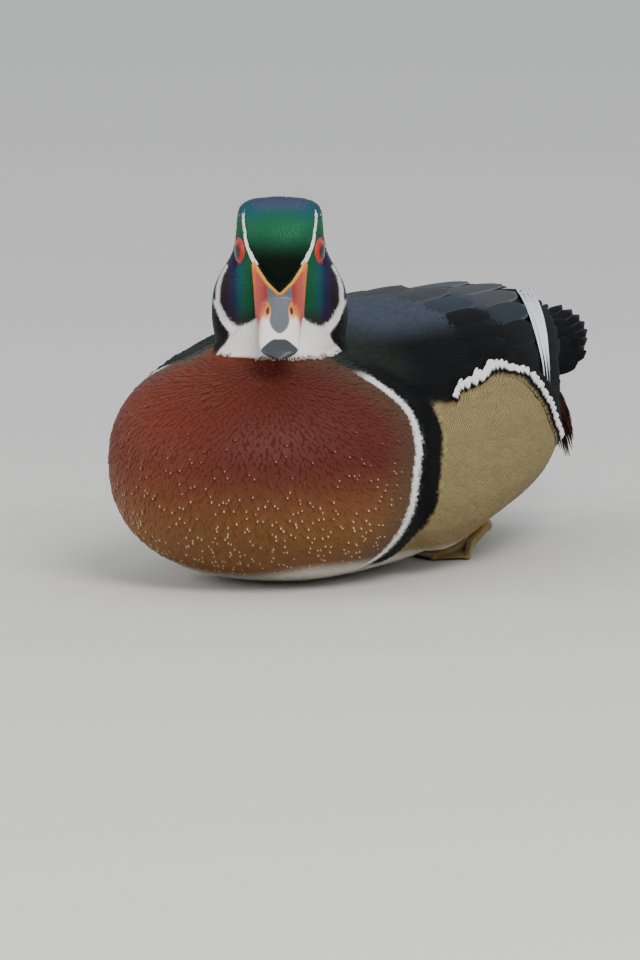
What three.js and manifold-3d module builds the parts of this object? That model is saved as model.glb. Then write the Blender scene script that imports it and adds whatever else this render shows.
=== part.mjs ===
// A life-size model of a wood duck drake at rest on its belly, neck drawn in and head turned to its left.
// Millimetres, +Z up. The bird faces -Y and its left side is +X. The origin is on the belly's flat, at floor level.
import * as THREE from "three";
import { ParametricGeometry } from "three/addons/geometries/ParametricGeometry.js";
import { mergeVertices } from "three/addons/utils/BufferGeometryUtils.js";
import Module from "manifold-3d";

const wasm = await Module();
wasm.setup();

// Driving dimensions
const GAP = 0.35; // between parts that touch
const BREAST_FRONT = -113; // foremost point of the breast
const BREAST_DEPTH = 83; // from there back to the full section
const BREAST_CUT = -30; // plane between breast and torso, at the white side bar
const NOSE_HEIGHT = 55; // height of the foremost point
const TORSO_END = 184; // hindmost point of the rump
const RUMP_ROUNDING = 16;
const SQUARENESS = 2.3; // superellipse exponent of the body sections
const WING_FRONT = -66;
const WING_END = 190;
const WING_THICKNESS = 4.5;
const FEATHER_LIFT = 1.5; // how far feather tips rise above the wing's smooth surface
const HEAD = new THREE.Vector3(13, -50, 144); // midpoint between the eyes
const HEAD_TURN = THREE.MathUtils.degToRad(29); // about Z, towards the bird's left
const BILL_PITCH = THREE.MathUtils.degToRad(22.5); // how far the bill points down
const EYE_RADIUS = 7.2;
const EYE_OPENING = 5.2; // radius of the lids' ring
const EYE_LEAN = THREE.MathUtils.degToRad(20); // how far the eyes look forward of straight sideways
const TAIL_ROOT = 150;
const TAIL_TIP = 224;

const radians = THREE.MathUtils.degToRad;
const clamp = THREE.MathUtils.clamp;
const point = (x, y, z) => new THREE.Vector3(x, y, z);

// A smooth curve through a few [place, value] pairs, level beyond its ends.
function through(...pairs) {
  const slopes = pairs.map((_, i) => {
    const before = pairs[Math.max(i - 1, 0)];
    const after = pairs[Math.min(i + 1, pairs.length - 1)];
    return (after[1] - before[1]) / (after[0] - before[0]);
  });
  return (place) => {
    const at = clamp(place, pairs[0][0], pairs.at(-1)[0]);
    const next = Math.max(1, pairs.findIndex((pair) => pair[0] >= at));
    const [x0, v0] = pairs[next - 1];
    const [x1, v1] = pairs[next];
    const span = x1 - x0;
    const t = (at - x0) / span;
    const rise = v1 - v0;
    const bend0 = slopes[next - 1] * span - rise;
    const bend1 = rise - slopes[next] * span;
    return v0 + t * rise + t * (1 - t) * ((1 - t) * bend0 + t * bend1);
  };
}

// Quarter-circle rounding: 0 at the end of a form, 1 from depth onwards.
const rounding = (distance, depth) => Math.sqrt(1 - (1 - clamp(distance / depth, 0, 1)) ** 2);

// Closed solids from three.js geometry, and back
function solid(geometry) {
  const bare = new THREE.BufferGeometry().setAttribute("position", geometry.getAttribute("position"));
  if (geometry.index) bare.setIndex(geometry.index);
  const merged = mergeVertices(bare, 1e-3);
  const corners = merged.index.array;
  const kept = [];
  for (let i = 0; i < corners.length; i += 3) {
    const [a, b, c] = corners.subarray(i, i + 3);
    if (a !== b && b !== c && c !== a) kept.push(a, b, c);
  }
  const made = (triVerts) =>
    new wasm.Manifold(
      new wasm.Mesh({
        numProp: 3,
        vertProperties: new Float32Array(merged.attributes.position.array),
        triVerts: new Uint32Array(triVerts),
      }),
    );
  const first = made(kept);
  return first.volume() > 0 ? first : made(kept.reverse());
}

function geometryOf(body) {
  const mesh = body.getMesh();
  const geometry = new THREE.BufferGeometry();
  geometry.setAttribute("position", new THREE.BufferAttribute(mesh.vertProperties, 3));
  geometry.setIndex(new THREE.BufferAttribute(mesh.triVerts, 1));
  geometry.computeVertexNormals();
  return geometry;
}

const largest = (body) => body.decompose().sort((a, b) => b.volume() - a.volume())[0];
const joined = (bodies) => bodies.reduce((whole, body) => whole.add(body));
const loft = (at, around, along) =>
  solid(new ParametricGeometry((u, v, target) => target.copy(at(u, v)), around, along));

// A feather lying along a surface: six-sided sections from a sunk root out to a pointed tip.
const STATIONS = [0, 0.24, 0.6, 0.87, 1];
const SHARES = [0, 0.85, 1, 0.72, 0]; // of the half width, at each station
const ACROSS = [1, 0, -1, -1, 0, 1];
const UP = [0.35, 1, 0.35, -0.35, -1, -0.35];

function vane(surface, { from, to, spread, rise, thick = 1.5 }) {
  const corners = STATIONS.flatMap((t, i) =>
    ACROSS.map((across, k) => {
      const lift = SHARES[i] > 0 ? (UP[k] * thick * (1 - 0.45 * t)) / 2 : 0;
      const lean = from[0] + (to[0] - from[0]) * t + across * spread * SHARES[i];
      return surface(lean, from[1] + (to[1] - from[1]) * t, rise[0] + (rise[1] - rise[0]) * t + lift);
    }),
  );
  const faces = [];
  for (let i = 0; i < STATIONS.length - 1; i++) {
    for (let k = 0; k < 6; k++) {
      const [a, b] = [i * 6 + k, i * 6 + ((k + 1) % 6)];
      const [c, d] = [a + 6, b + 6];
      faces.push(...(k < 3 ? [a, b, d, a, d, c] : [a, b, c, b, d, c]));
    }
  }
  const geometry = new THREE.BufferGeometry().setFromPoints(corners);
  return solid(geometry.setIndex(faces));
}

// The body's section: angle 0 is the bird's left side and a quarter turn is the top.
function sectionPoint(angle, y, { halfWidth, bottom, middle, top }) {
  const across = Math.cos(angle);
  const up = Math.sin(angle);
  const x = halfWidth * Math.sign(across) * Math.abs(across) ** (2 / SQUARENESS);
  const reach = up > 0 ? top - middle : middle - bottom;
  return point(x, y, middle + Math.sign(up) * reach * Math.abs(up) ** (2 / SQUARENESS));
}

// Torso: what lies under wings and flanks, and the breast and belly themselves
const torsoCurves = {
  halfWidth: through([-113, 70], [-30, 70], [0, 67.5], [45, 65], [80, 60], [120, 47], [150, 35], [184, 20]),
  bottom: through([-113, -2], [-10, -2], [30, -1.2], [45, 3], [60, 9], [90, 15], [125, 27], [155, 42], [184, 60]),
  middle: through([-113, NOSE_HEIGHT], [-30, 50], [40, 48], [100, 50], [150, 60], [184, 70]),
  top: through([-113, 106], [-60, 104], [-30, 105], [10, 107], [50, 107], [90, 102], [130, 91], [184, 79]),
};

function torsoAt(angle, y, grow = 0) {
  const round =
    rounding(y - (BREAST_FRONT - grow), BREAST_DEPTH) * rounding(TORSO_END + grow - y, RUMP_ROUNDING);
  const middle = torsoCurves.middle(y);
  const full = {
    halfWidth: (torsoCurves.halfWidth(y) + grow) * round,
    bottom: middle + (torsoCurves.bottom(y) - grow - middle) * round,
    middle,
    top: middle + (torsoCurves.top(y) + grow - middle) * round,
  };
  return sectionPoint(angle, y, full);
}

// Spreads rows along a form, closer together at its rounded front end.
const eased = (t, low, high) => low + (high - low) * (0.55 * t + 0.45 * (1 - Math.cos((t * Math.PI) / 2)));

function torsoSolid(grow = 0) {
  const row = (t) => eased(t, BREAST_FRONT - grow, TORSO_END + grow);
  return loft((u, v) => torsoAt(u * 2 * Math.PI, row(v), grow), 28, 17);
}

// The closed wings: a mantle over the back that stays high while the rump drops away under it
const mantleCurves = {
  halfWidth: through([-70, 44], [-45, 60], [-15, 68], [25, 71], [60, 69.5], [92, 64], [125, 52], [150, 43], [175, 31], [190, 19]),
  middle: through([-70, 50], [20, 52], [100, 56], [150, 62], [190, 74]),
  top: through([-70, 101], [-45, 107], [-15, 110.5], [25, 113], [70, 113], [110, 111.5], [150, 109], [190, 103]),
};

function mantleAt(angle, y, grow = 0) {
  const middle = mantleCurves.middle(y);
  return sectionPoint(angle, y, {
    halfWidth: mantleCurves.halfWidth(y) + grow,
    bottom: middle - 20,
    middle,
    top: mantleCurves.top(y) + grow,
  });
}

// A form between two body sections, closed by flat ends.
function bandSolid(surface, from, to, grow, around, along) {
  const rows = along + 2;
  return loft(
    (u, v) => {
      const step = clamp(v * rows - 1, 0, along) / along;
      const y = from + (to - from) * step;
      const edge = surface(u * 2 * Math.PI, y, grow);
      const isEnd = v === 0 || v === 1;
      return isEnd ? point(0, y, 66) : edge;
    },
    around,
    rows,
  );
}

// A curtain cuts a form to an outline drawn from the bird's side, on its left half.
function sideCurtain(outline, nearest = 0.2, farthest = 120) {
  const shape = new THREE.Shape(outline.map(([y, z]) => new THREE.Vector2(y, z)));
  const geometry = new THREE.ExtrudeGeometry(shape, { depth: farthest - nearest, bevelEnabled: false });
  geometry.applyMatrix4(new THREE.Matrix4().makeBasis(point(0, 1, 0), point(0, 0, 1), point(1, 0, 0)));
  return solid(geometry.translate(nearest, 0, 0));
}

const sideCurve = (curve, from, to, steps) =>
  Array.from({ length: steps + 1 }, (_, i) => from + ((to - from) * i) / steps).map((y) => [y, curve(y)]);

const wingLowerEdge = through([-66, 92], [-45, 80], [-20, 72], [50, 74], [110, 62], [150, 60], [178, 72], [190, 86]);

function wingShell(grow = 0) {
  const edge = (y) => wingLowerEdge(y) - grow;
  const outline = [...sideCurve(edge, WING_FRONT, WING_END - 1, 14), [WING_END - 1, 130], [WING_FRONT, 130]];
  const shell = bandSolid(mantleAt, WING_FRONT - 2, WING_END, grow, 24, 11);
  const hollow = bandSolid(mantleAt, 60, WING_END + 5, -WING_THICKNESS - grow, 24, 6);
  return shell.intersect(sideCurtain(outline)).subtract(hollow);
}

// Rows of wing feathers, front to back: angle of each feather on the mantle and where it starts and ends.
const WING_ROWS = [
  { angles: [36, 49, 62, 75], from: -60, to: -12 },
  { angles: [28, 42, 56, 70, 82], from: -36, to: 22 },
  { angles: [35, 49, 63, 77], from: -6, to: 60 },
  { angles: [28, 42, 56, 70, 82], from: 26, to: 100 },
  { angles: [34, 48, 62, 76], from: 62, to: 140 },
];
const FLIGHT = [[24, 100, 172], [35, 100, 184], [47, 100, 188], [59, 100, 184], [71, 102, 177], [82, 106, 168]];
const SHELL_SINK = 2.2;
const SHELL_END = 148;

function wingFeathered() {
  const shell = wingShell(-SHELL_SINK).intersect(solid(new THREE.BoxGeometry(300, 300, 400).translate(0, SHELL_END - 150, 0)));
  const rows = WING_ROWS.flatMap(({ angles, from, to }) =>
    angles.map((angle) => ({ from: [radians(angle), from], to: [radians(angle - 1), to], spread: radians(6.2) })),
  );
  const flight = FLIGHT.map(([angle, from, to]) => ({
    from: [radians(angle + 3), from],
    to: [radians(angle), to],
    spread: radians(5.6),
  }));
  const feathers = [...rows, ...flight].map((lie) => vane(mantleAt, { ...lie, rise: [-4.4, 0.6], thick: 1.7 }));
  return largest(joined([shell, ...feathers]).subtract(torsoSolid(GAP)));
}

// Flanks: the bulging pocket of side feathers that holds the wing's lower edge
const FLANK_FRONT = -24;
const FLANK_END = 150;
const flankCurves = {
  halfWidth: through([-24, 70.5], [0, 73.5], [30, 75], [65, 73.5], [105, 65], [130, 54], [150, 42]),
  middle: through([-24, 48], [60, 47], [150, 54]),
  top: through([-24, 107], [50, 112], [100, 108], [150, 92]),
};
const flankUpperEdge = through([-24, 60], [-14, 78], [10, 86], [50, 88], [90, 82], [125, 68], [146, 54], [150, 46]);
const flankLowerEdge = through([-24, 50], [-16, 26], [0, 12], [40, 8], [80, 14], [120, 28], [146, 40], [150, 44]);

function flankAt(angle, y, grow = 0) {
  const middle = flankCurves.middle(y);
  return sectionPoint(angle, y, {
    halfWidth: flankCurves.halfWidth(y) + grow,
    bottom: torsoCurves.bottom(y) - 2,
    middle,
    top: flankCurves.top(y) + grow,
  });
}

const flankRoom = () => bandSolid(flankAt, FLANK_FRONT - 2, FLANK_END + 2, GAP, 28, 11);

function flankBase() {
  const outline = [
    ...sideCurve(flankLowerEdge, FLANK_FRONT, FLANK_END, 14),
    ...sideCurve(flankUpperEdge, FLANK_FRONT, FLANK_END, 14).reverse(),
  ];
  const bulge = bandSolid(flankAt, FLANK_FRONT - 2, FLANK_END + 2, 0, 28, 11);
  const covered = bandSolid(mantleAt, WING_FRONT - 2, WING_END, GAP + FEATHER_LIFT, 24, 11);
  return largest(bulge.intersect(sideCurtain(outline, 20)).subtract(torsoSolid(GAP)).subtract(covered));
}

// Head and neck: one upright form of level rings, from the crown down into the shoulders.
// Heights are from the eyes, forward is towards the bill, and widths are half widths.
const CROWN = 24;
const NECK_FOOT = -62;
const NECK_CUT = -33;
const headCurves = {
  halfWidth: through([-62, 28], [-46, 25], [-36, 26], [-26, 26], [-17, 25.8], [-9, 23.4], [-4, 21.2], [0, 20], [8, 19.8], [15, 19.4], [24, 17]),
  front: through([-62, 20], [-46, 15], [-36, 12], [-26, 11.5], [-17, 14.6], [-8, 15.8], [0, 14.6], [7, 11.5], [13, 6.5], [18, 0], [24, -12]),
  back: through([-62, 34], [-40, 30], [-20, 30], [0, 31], [10, 30], [18, 26], [24, 18]),
};

// The crest hangs behind the head as a hood, flaring over the nape.
const crestCurves = {
  halfWidth: through([-44, 27], [-36, 29.5], [-28, 30.5], [-17, 29.5], [-9, 26], [-2, 21.8], [8, 20], [15, 19.6], [24, 17]),
  front: headCurves.front,
  back: through([-44, 33], [-32, 38], [-20, 40], [0, 40.5], [10, 39], [18, 34], [24, 25]),
};

function headLocal(angle, height, grow = 0, curves = headCurves) {
  const round = rounding(CROWN + grow - height, 6);
  const front = curves.front(height) + grow;
  const back = curves.back(height) + grow;
  const middle = (front - back) / 2;
  const summit = (curves.front(CROWN) - curves.back(CROWN)) / 2;
  const forward = summit + (middle + ((front + back) / 2) * Math.cos(angle) - summit) * round;
  return point((curves.halfWidth(height) + grow) * Math.sin(angle) * round, -forward, height);
}

const headMatrix = new THREE.Matrix4().makeRotationZ(HEAD_TURN).setPosition(HEAD);
const toHead = (body) => body.transform(headMatrix.elements);

function headForm(grow = 0, curves = headCurves, foot = NECK_FOOT) {
  const height = (t) => CROWN + grow - (CROWN + grow - foot) * (0.35 * t + 0.65 * t * t);
  const rows = 16;
  const at = (u, v) => headLocal(u * 2 * Math.PI, height((v * rows) / (rows - 1)), grow, curves);
  return loft((u, v) => (v === 1 ? point(0, 8, foot) : at(u, v)), 24, rows);
}

// Locks of the crest in tiers: angles round the head, a half turn being the nape, and heights of root and tip
const CREST_TIERS = [
  { angles: [147, 169, 191, 213], from: 19, to: -6 },
  { angles: [136, 158, 180, 202, 224], from: 8, to: -21 },
  { angles: [103, 125, 147, 169, 191, 213, 235, 257], from: -3, to: -33 },
  { angles: [114, 136, 158, 180, 202, 224, 246], from: -16, to: -43 },
];

function crestFeathered() {
  const behind = solid(new THREE.BoxGeometry(200, 100, 200).translate(0, 56, 0));
  const core = headForm(-2.6, crestCurves, -40).intersect(behind);
  const surface = (angle, height, grow) => headLocal(angle, height, grow, crestCurves);
  const locks = CREST_TIERS.flatMap(({ angles, from, to }) =>
    angles.map((angle) =>
      vane(surface, {
        from: [radians(angle), from],
        to: [radians(angle), to],
        spread: radians(10.4),
        rise: [-5, 1.6],
        thick: 2,
      }),
    ),
  );
  return largest(joined([core, ...locks]).subtract(headForm(GAP)));
}

const slab = (low, high, tilt = 0) =>
  solid(new THREE.BoxGeometry(300, 600, high - low).translate(0, 0, (low + high) / 2).rotateX(tilt));

// Eyes, sunk in the sides of the head, each in a ring of lid
const eyePlace = (side) => point(side * 13.2, 0.8, 0);
const eyeball = (side, grow = 0) =>
  solid(new THREE.SphereGeometry(EYE_RADIUS + grow, 12, 8).translate(...eyePlace(side).toArray()));

function lidRing(side, grow = 0) {
  const ring = new THREE.TorusGeometry(EYE_OPENING, 1.2 + grow, 6, 12);
  ring.rotateY(Math.PI / 2).rotateZ(-side * EYE_LEAN);
  const out = point(side, -Math.tan(EYE_LEAN), 0).normalize().multiplyScalar(5.2);
  return solid(ring.translate(...eyePlace(side).add(out).toArray()));
}

// Bill, in its own frame: forward along -Y from the eyes, before it is pitched down
const billCurves = {
  halfWidth: through([6, 10.6], [18, 10], [26, 9.2], [36, 8.9], [44, 8.6], [49, 7.8], [53, 6.5]),
  top: through([6, -4], [14, -6.8], [20, -9.8], [28, -14], [36, -17.2], [44, -19.6], [53, -21.8]),
};
const BILL_TIP = 53;
const GAPE = -23; // height of the mouth's line
const pitched = (body) => body.rotate([(BILL_PITCH * 180) / Math.PI, 0, 0]);

function billSection(angle, ahead, low, high) {
  const round = rounding(BILL_TIP - ahead, 8);
  const across = Math.cos(angle);
  const up = Math.sin(angle);
  const x = billCurves.halfWidth(ahead) * round * Math.sign(across) * Math.abs(across) ** 0.75;
  const z = up > 0 ? high * up ** 0.8 : -low * (-up) ** 0.8;
  return point(x, -ahead, z);
}

function upperBill() {
  const shape = loft(
    (u, v) => {
      const ahead = 4 + (BILL_TIP - 4) * v;
      if (v === 0) return point(0, -4, -16);
      const high = (billCurves.top(ahead) - GAPE) * rounding(BILL_TIP - ahead, 5);
      return billSection(u * 2 * Math.PI, ahead, 0.6, high).add(point(0, 0, GAPE));
    },
    18,
    12,
  );
  return pitched(shape);
}

function lowerBill() {
  const depth = through([6, 6.5], [20, 5], [40, 3], [51, 2]);
  const shape = loft(
    (u, v) => {
      const ahead = 4 + (BILL_TIP - 3.5 - 4) * v;
      if (v === 0) return point(0, -4, GAPE - 3);
      const round = rounding(BILL_TIP - 3.5 - ahead, 8);
      const angle = u * 2 * Math.PI;
      const x = billCurves.halfWidth(ahead) * 0.86 * round * Math.cos(angle);
      const z = Math.sin(angle) * (Math.sin(angle) > 0 ? 0.5 : depth(ahead) * round);
      return point(x, -ahead, GAPE - 1.6 + z);
    },
    16,
    14,
  );
  return pitched(shape);
}

// The bill's base runs up the face in two lobes beside the feathered forehead.
function billMask() {
  const half = [[0, -16.2], [5, -11.2], [10.8, -2.4], [12, -4.2], [11.2, -14], [10.4, -27], [0, -30]];
  const outline = [...half, ...half.slice(1, -1).reverse().map(([x, z]) => [-x, z])];
  const shape = new THREE.Shape(outline.map(([x, z]) => new THREE.Vector2(x, z)));
  const block = new THREE.ExtrudeGeometry(shape, { depth: 30, bevelEnabled: false });
  const column = solid(block.rotateX(Math.PI / 2));
  return headForm(GAP + 1.2).intersect(column);
}

const nostril = (side) =>
  pitched(solid(new THREE.SphereGeometry(1, 8, 6).scale(1.6, 2.6, 1.2).rotateY(side * 0.6).translate(side * 6.4, -25, -13.6)));

// Tail: feathers on an arched fan, the middle pair uppermost
const tailHeight = through([TAIL_ROOT, 60], [190, 64], [TAIL_TIP, 67]);
const tailArch = through([TAIL_ROOT, 17], [185, 22], [TAIL_TIP, 25]);
const tailSpread = through([TAIL_ROOT, 16], [185, 24], [TAIL_TIP, 30]);

function tailAt(lean, y, sunk = 0) {
  const x = Math.sin(lean) * (tailSpread(y) - sunk);
  return point(x, y, tailHeight(y) + Math.cos(lean) * (tailArch(y) - sunk));
}

// Feathers of the tail's left half: lean from the middle and place of the tip
const TAIL_FEATHERS = [[8.5, 224], [22, 224], [36, 222], [50, 218], [63, 212], [76, 204]];
const TAIL_STEP = 1.8; // each feather lies this far below its inner neighbour
const TAIL_COVERTS = [-52, -26, 0, 26, 52];

function tailCore() {
  const edge = radians(84);
  const rows = 5;
  const skin = (u, v) => {
    const lean = edge * (u < 0.5 ? 4 * u - 1 : 3 - 4 * u);
    return tailAt(lean, TAIL_ROOT + 16 + 22 * v, u < 0.5 || u === 1 ? 2.2 : 14);
  };
  const at = (u, v) => {
    const step = clamp(v * rows - 1, 0, rows - 2) / (rows - 2);
    return v === 0 || v === 1 ? skin(0.25, step).add(point(0, 0, -6)) : skin(u, step);
  };
  return loft(at, 20, rows);
}

function tailFeathered() {
  const surface = (lean, y, grow) => tailAt(lean, y, -grow);
  const halves = TAIL_FEATHERS.flatMap(([lean, tip], i) =>
    [1, -1].map((side) =>
      vane(surface, {
        from: [side * radians(lean * 0.9), 170],
        to: [side * radians(lean), tip],
        spread: radians(i === 0 ? 7.6 : 9.5),
        rise: [-4 - TAIL_STEP * i, -TAIL_STEP * i],
      }),
    ),
  );
  const coverts = TAIL_COVERTS.map((lean) =>
    vane(surface, { from: [radians(lean), 168], to: [radians(lean), 202], spread: radians(11), rise: [-4, 3] }),
  );
  return largest(joined([tailCore(), ...halves, ...coverts]).subtract(torsoSolid(GAP)));
}

// Plumes: a loose bunch of drooping feathers behind each flank, lying round a short stem
const PLUMES = [[-70, 0.98], [-35, 1.15], [0, 1.05], [35, 1.2], [70, 1.02], [110, 1.12]];
const PLUME_ROOT = point(37, 148, 63);
const PLUME_END = point(28, 178, 40);

function plumeAt(angle, along, grow) {
  const radius = 8.5 - 3.5 * along + grow;
  const centre = PLUME_ROOT.clone().lerp(PLUME_END, along).add(point(0, 4 * along * (1 - along), 0));
  return centre.add(point(Math.cos(angle) * radius, 0, Math.sin(angle) * radius * 1.2));
}

function plumesFeathered() {
  const locks = PLUMES.map(([angle, tip], i) =>
    vane(plumeAt, {
      from: [radians(angle), 0.05],
      to: [radians(angle), tip],
      spread: radians(16),
      rise: [-4, 0.5 + (i % 2)],
      thick: 2,
    }),
  );
  const stem = rod(PLUME_ROOT, PLUME_ROOT.clone().lerp(PLUME_END, 0.55), 6.5, 4);
  const whole = joined([stem, ...locks]);
  return largest(whole.subtract(torsoSolid(GAP)).subtract(wingShell(GAP)).subtract(flankRoom()));
}

// Legs: shank folded under the belly, three webbed toes forward and a small one behind
const ANKLE = point(30, 104, 9);
const TOE_ROOT = point(31, 88, 3.2);

function rod(from, to, thick, thin) {
  const length = from.distanceTo(to);
  const shape = new THREE.CylinderGeometry(thin, thick, length, 7);
  const turn = new THREE.Quaternion().setFromUnitVectors(point(0, 1, 0), to.clone().sub(from).normalize());
  shape.applyQuaternion(turn).translate(...from.clone().add(to).multiplyScalar(0.5).toArray());
  return solid(shape);
}

function legSolid() {
  const pieces = [rod(point(33, 84, 22), ANKLE, 4, 3), rod(ANKLE, TOE_ROOT, 2.9, 2.6)];
  const toes = [-20, 4, 27].map((spread, i) => {
    const angle = radians(spread);
    const length = [34, 40, 33][i];
    return TOE_ROOT.clone().add(point(Math.sin(angle) * length, -Math.cos(angle) * length, -2));
  });
  pieces.push(...toes.map((tip) => rod(TOE_ROOT, tip, 2.5, 1.4)));
  pieces.push(rod(TOE_ROOT, TOE_ROOT.clone().add(point(-4, 9, -1.6)), 1.8, 1));
  pieces.push(solid(new THREE.SphereGeometry(3, 8, 6).translate(...TOE_ROOT.toArray())));
  pieces.push(solid(new THREE.SphereGeometry(3.3, 8, 6).translate(...ANKLE.toArray())));
  const web = new THREE.Shape([TOE_ROOT, ...toes].map((p) => new THREE.Vector2(p.x, p.y)));
  pieces.push(solid(new THREE.ExtrudeGeometry(web, { depth: 1, bevelEnabled: false }).translate(0, 0, 0.8)));
  const whole = joined(pieces)
    .subtract(torsoSolid(GAP))
    .subtract(flankRoom());
  return largest(whole.intersect(slab(0, 40)));
}

// Building the nodes
const model = new THREE.Group();

function addNode(name, body, look) {
  const mesh = new THREE.Mesh(geometryOf(largest(body)), new THREE.MeshStandardMaterial(look));
  mesh.name = name;
  model.add(mesh);
  return body;
}

const mirrored = (body) => body.mirror([1, 0, 0]);

const chestnut = { color: 0x5a2418, roughness: 0.75, metalness: 0 };
const dusky = { color: 0x2b2a2a, roughness: 0.6, metalness: 0 };
const buff = { color: 0xb9a67c, roughness: 0.8, metalness: 0 };
const bottleGreen = { color: 0x123f30, roughness: 0.45, metalness: 0.2 };
const horn = { color: 0xd9452f, roughness: 0.4, metalness: 0 };
const ruby = { color: 0xa01010, roughness: 0.1, metalness: 0 };
const straw = { color: 0xb0913f, roughness: 0.6, metalness: 0 };

const floorCut = slab(0, 400);
const torsoWhole = torsoSolid().intersect(floorCut);
const ahead = solid(new THREE.BoxGeometry(300, 300, 400).translate(0, BREAST_CUT - GAP / 2 - 150, 100));
const behind = solid(new THREE.BoxGeometry(300, 300, 400).translate(0, BREAST_CUT + GAP / 2 + 150, 100));
addNode("breast", torsoWhole.intersect(ahead), chestnut);
addNode("torso", torsoWhole.intersect(behind), dusky);

const headSolid = headForm();
const sockets = joined([eyeball(1, GAP), eyeball(-1, GAP), lidRing(1, GAP), lidRing(-1, GAP)]);
const aboveNeck = slab(NECK_CUT, 200, radians(-12));
const belowNeck = slab(-200, NECK_CUT - GAP, radians(-12));
const shoulders = torsoSolid(GAP);
addNode("head", toHead(headSolid.intersect(aboveNeck).subtract(sockets)).subtract(shoulders), bottleGreen);
addNode("neck", toHead(headSolid.intersect(belowNeck)).subtract(shoulders), dusky);

const headCut = headForm(GAP);
const lower = lowerBill();
const upper = upperBill().add(billMask()).subtract(nostril(1)).subtract(nostril(-1));
addNode("bill_upper", toHead(upper.subtract(headCut)), horn);
addNode("bill_lower", toHead(lower.subtract(headCut).subtract(upperBill().translate([0, 0, -GAP]))), horn);
for (const [side, word] of [[1, "left"], [-1, "right"]]) {
  addNode(`eye_${word}`, toHead(eyeball(side)), ruby);
  addNode(`eyelid_${word}`, toHead(lidRing(side).subtract(eyeball(side, GAP))), ruby);
}

const neckRoom = toHead(headForm(GAP).add(headForm(GAP + 2.6, crestCurves, -47)));
const sides = [["left", (body) => body], ["right", mirrored]];
const wing = wingFeathered();
const flank = flankBase();
const leg = legSolid();
const plumes = plumesFeathered();
for (const [word, place] of sides) {
  addNode(`wing_${word}`, place(wing).subtract(neckRoom), dusky);
  addNode(`flank_${word}`, place(flank), buff);
  addNode(`leg_${word}`, place(leg), straw);
  addNode(`plumes_${word}`, place(plumes), chestnut);
}
const wingRoom = wingShell(GAP);
addNode("tail", tailFeathered().subtract(wingRoom).subtract(mirrored(wingRoom)), dusky);
addNode("crest", toHead(crestFeathered()).subtract(shoulders), bottleGreen);

export default model;
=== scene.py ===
from math import ceil, cos, radians, sin

import bpy
import numpy as np
from mathutils import Matrix, Vector
from mathutils.bvhtree import BVHTree


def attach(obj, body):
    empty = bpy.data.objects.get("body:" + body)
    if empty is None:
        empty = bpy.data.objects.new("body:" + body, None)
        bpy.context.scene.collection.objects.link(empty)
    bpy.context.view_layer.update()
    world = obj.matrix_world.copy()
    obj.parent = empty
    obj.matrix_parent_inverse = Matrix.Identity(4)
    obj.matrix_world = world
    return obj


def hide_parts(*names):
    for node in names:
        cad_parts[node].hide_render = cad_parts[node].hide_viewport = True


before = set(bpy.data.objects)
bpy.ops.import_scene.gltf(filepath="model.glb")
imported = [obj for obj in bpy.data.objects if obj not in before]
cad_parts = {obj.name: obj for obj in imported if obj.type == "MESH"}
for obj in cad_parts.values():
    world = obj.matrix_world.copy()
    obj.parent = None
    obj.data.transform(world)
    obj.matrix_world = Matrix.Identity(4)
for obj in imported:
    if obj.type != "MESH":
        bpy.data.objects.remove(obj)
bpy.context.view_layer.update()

rng = np.random.default_rng(7)

# Sizes are in millimetres until a mesh is made
MM = 0.001
COAT_DEPTH = 1.7
SKIN_GRAIN = 1.6
SQUARENESS = 2.3
HEAD = np.array([13.0, -50.0, 144.0])
HEAD_TURN = radians(29)
BILL_PITCH = radians(22.5)
EYE_RADIUS = 7.2
EYE_OPENING = 5.2
EYE_LEAN = radians(20)
EYE_CENTRE = np.array([12.8, 0.8, 0.0])
EYE_OUT = np.array([cos(EYE_LEAN), -sin(EYE_LEAN), 0.0])
SOCKET_ANGLE, SOCKET_REACH, SOCKET_DEPTH = radians(43), 12, 3.5
BARE_EYE_ANGLE = radians(51)
CROWN, CROWN_ROUNDING = 24, 6
TAIL_ROOT, TAIL_TIP = 150, 224
BREAST_FRONT, BREAST_DEPTH, NOSE_HEIGHT = -113, 83, 55
TORSO_END, RUMP_ROUNDING = 184, 16
MANTLE_DEPTH = 20
# The least height over the floor of the skin, of the short feathers and of the long ones
SKIN_FLOOR, COAT_FLOOR, VANE_FLOOR = 0.4, 0.15, 0.2


# Curves and surfaces of the bird
def through(*pairs):
    """A smooth curve through pairs of place and value, level beyond both ends."""
    places = np.array([pair[0] for pair in pairs], float)
    values = np.array([pair[1] for pair in pairs], float)
    last = len(pairs) - 1
    ahead = np.minimum(np.arange(last + 1) + 1, last)
    behind = np.maximum(np.arange(last + 1) - 1, 0)
    slopes = (values[ahead] - values[behind]) / (places[ahead] - places[behind])

    def curve(place):
        at = np.clip(place, places[0], places[-1])
        step = np.clip(np.searchsorted(places, at), 1, last)
        span = places[step] - places[step - 1]
        t = (at - places[step - 1]) / span
        rise = values[step] - values[step - 1]
        first = slopes[step - 1] * span - rise
        second = rise - slopes[step] * span
        return values[step - 1] + t * rise + t * (1 - t) * ((1 - t) * first + t * second)

    return curve


def smooth(low, high, value):
    """0 at low and before it, 1 at high and beyond, eased between them."""
    t = np.clip((value - low) / (high - low), 0, 1)
    return t * t * (3 - 2 * t)


def rounding(distance, depth):
    """A round nose: 0 at its tip, 1 at its depth and beyond."""
    return np.sqrt(1 - (1 - np.clip(distance / depth, 0, 1)) ** 2)


def points(*columns):
    """Columns of numbers set side by side as places."""
    return np.stack(np.broadcast_arrays(*columns), axis=-1).astype(float)


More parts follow.
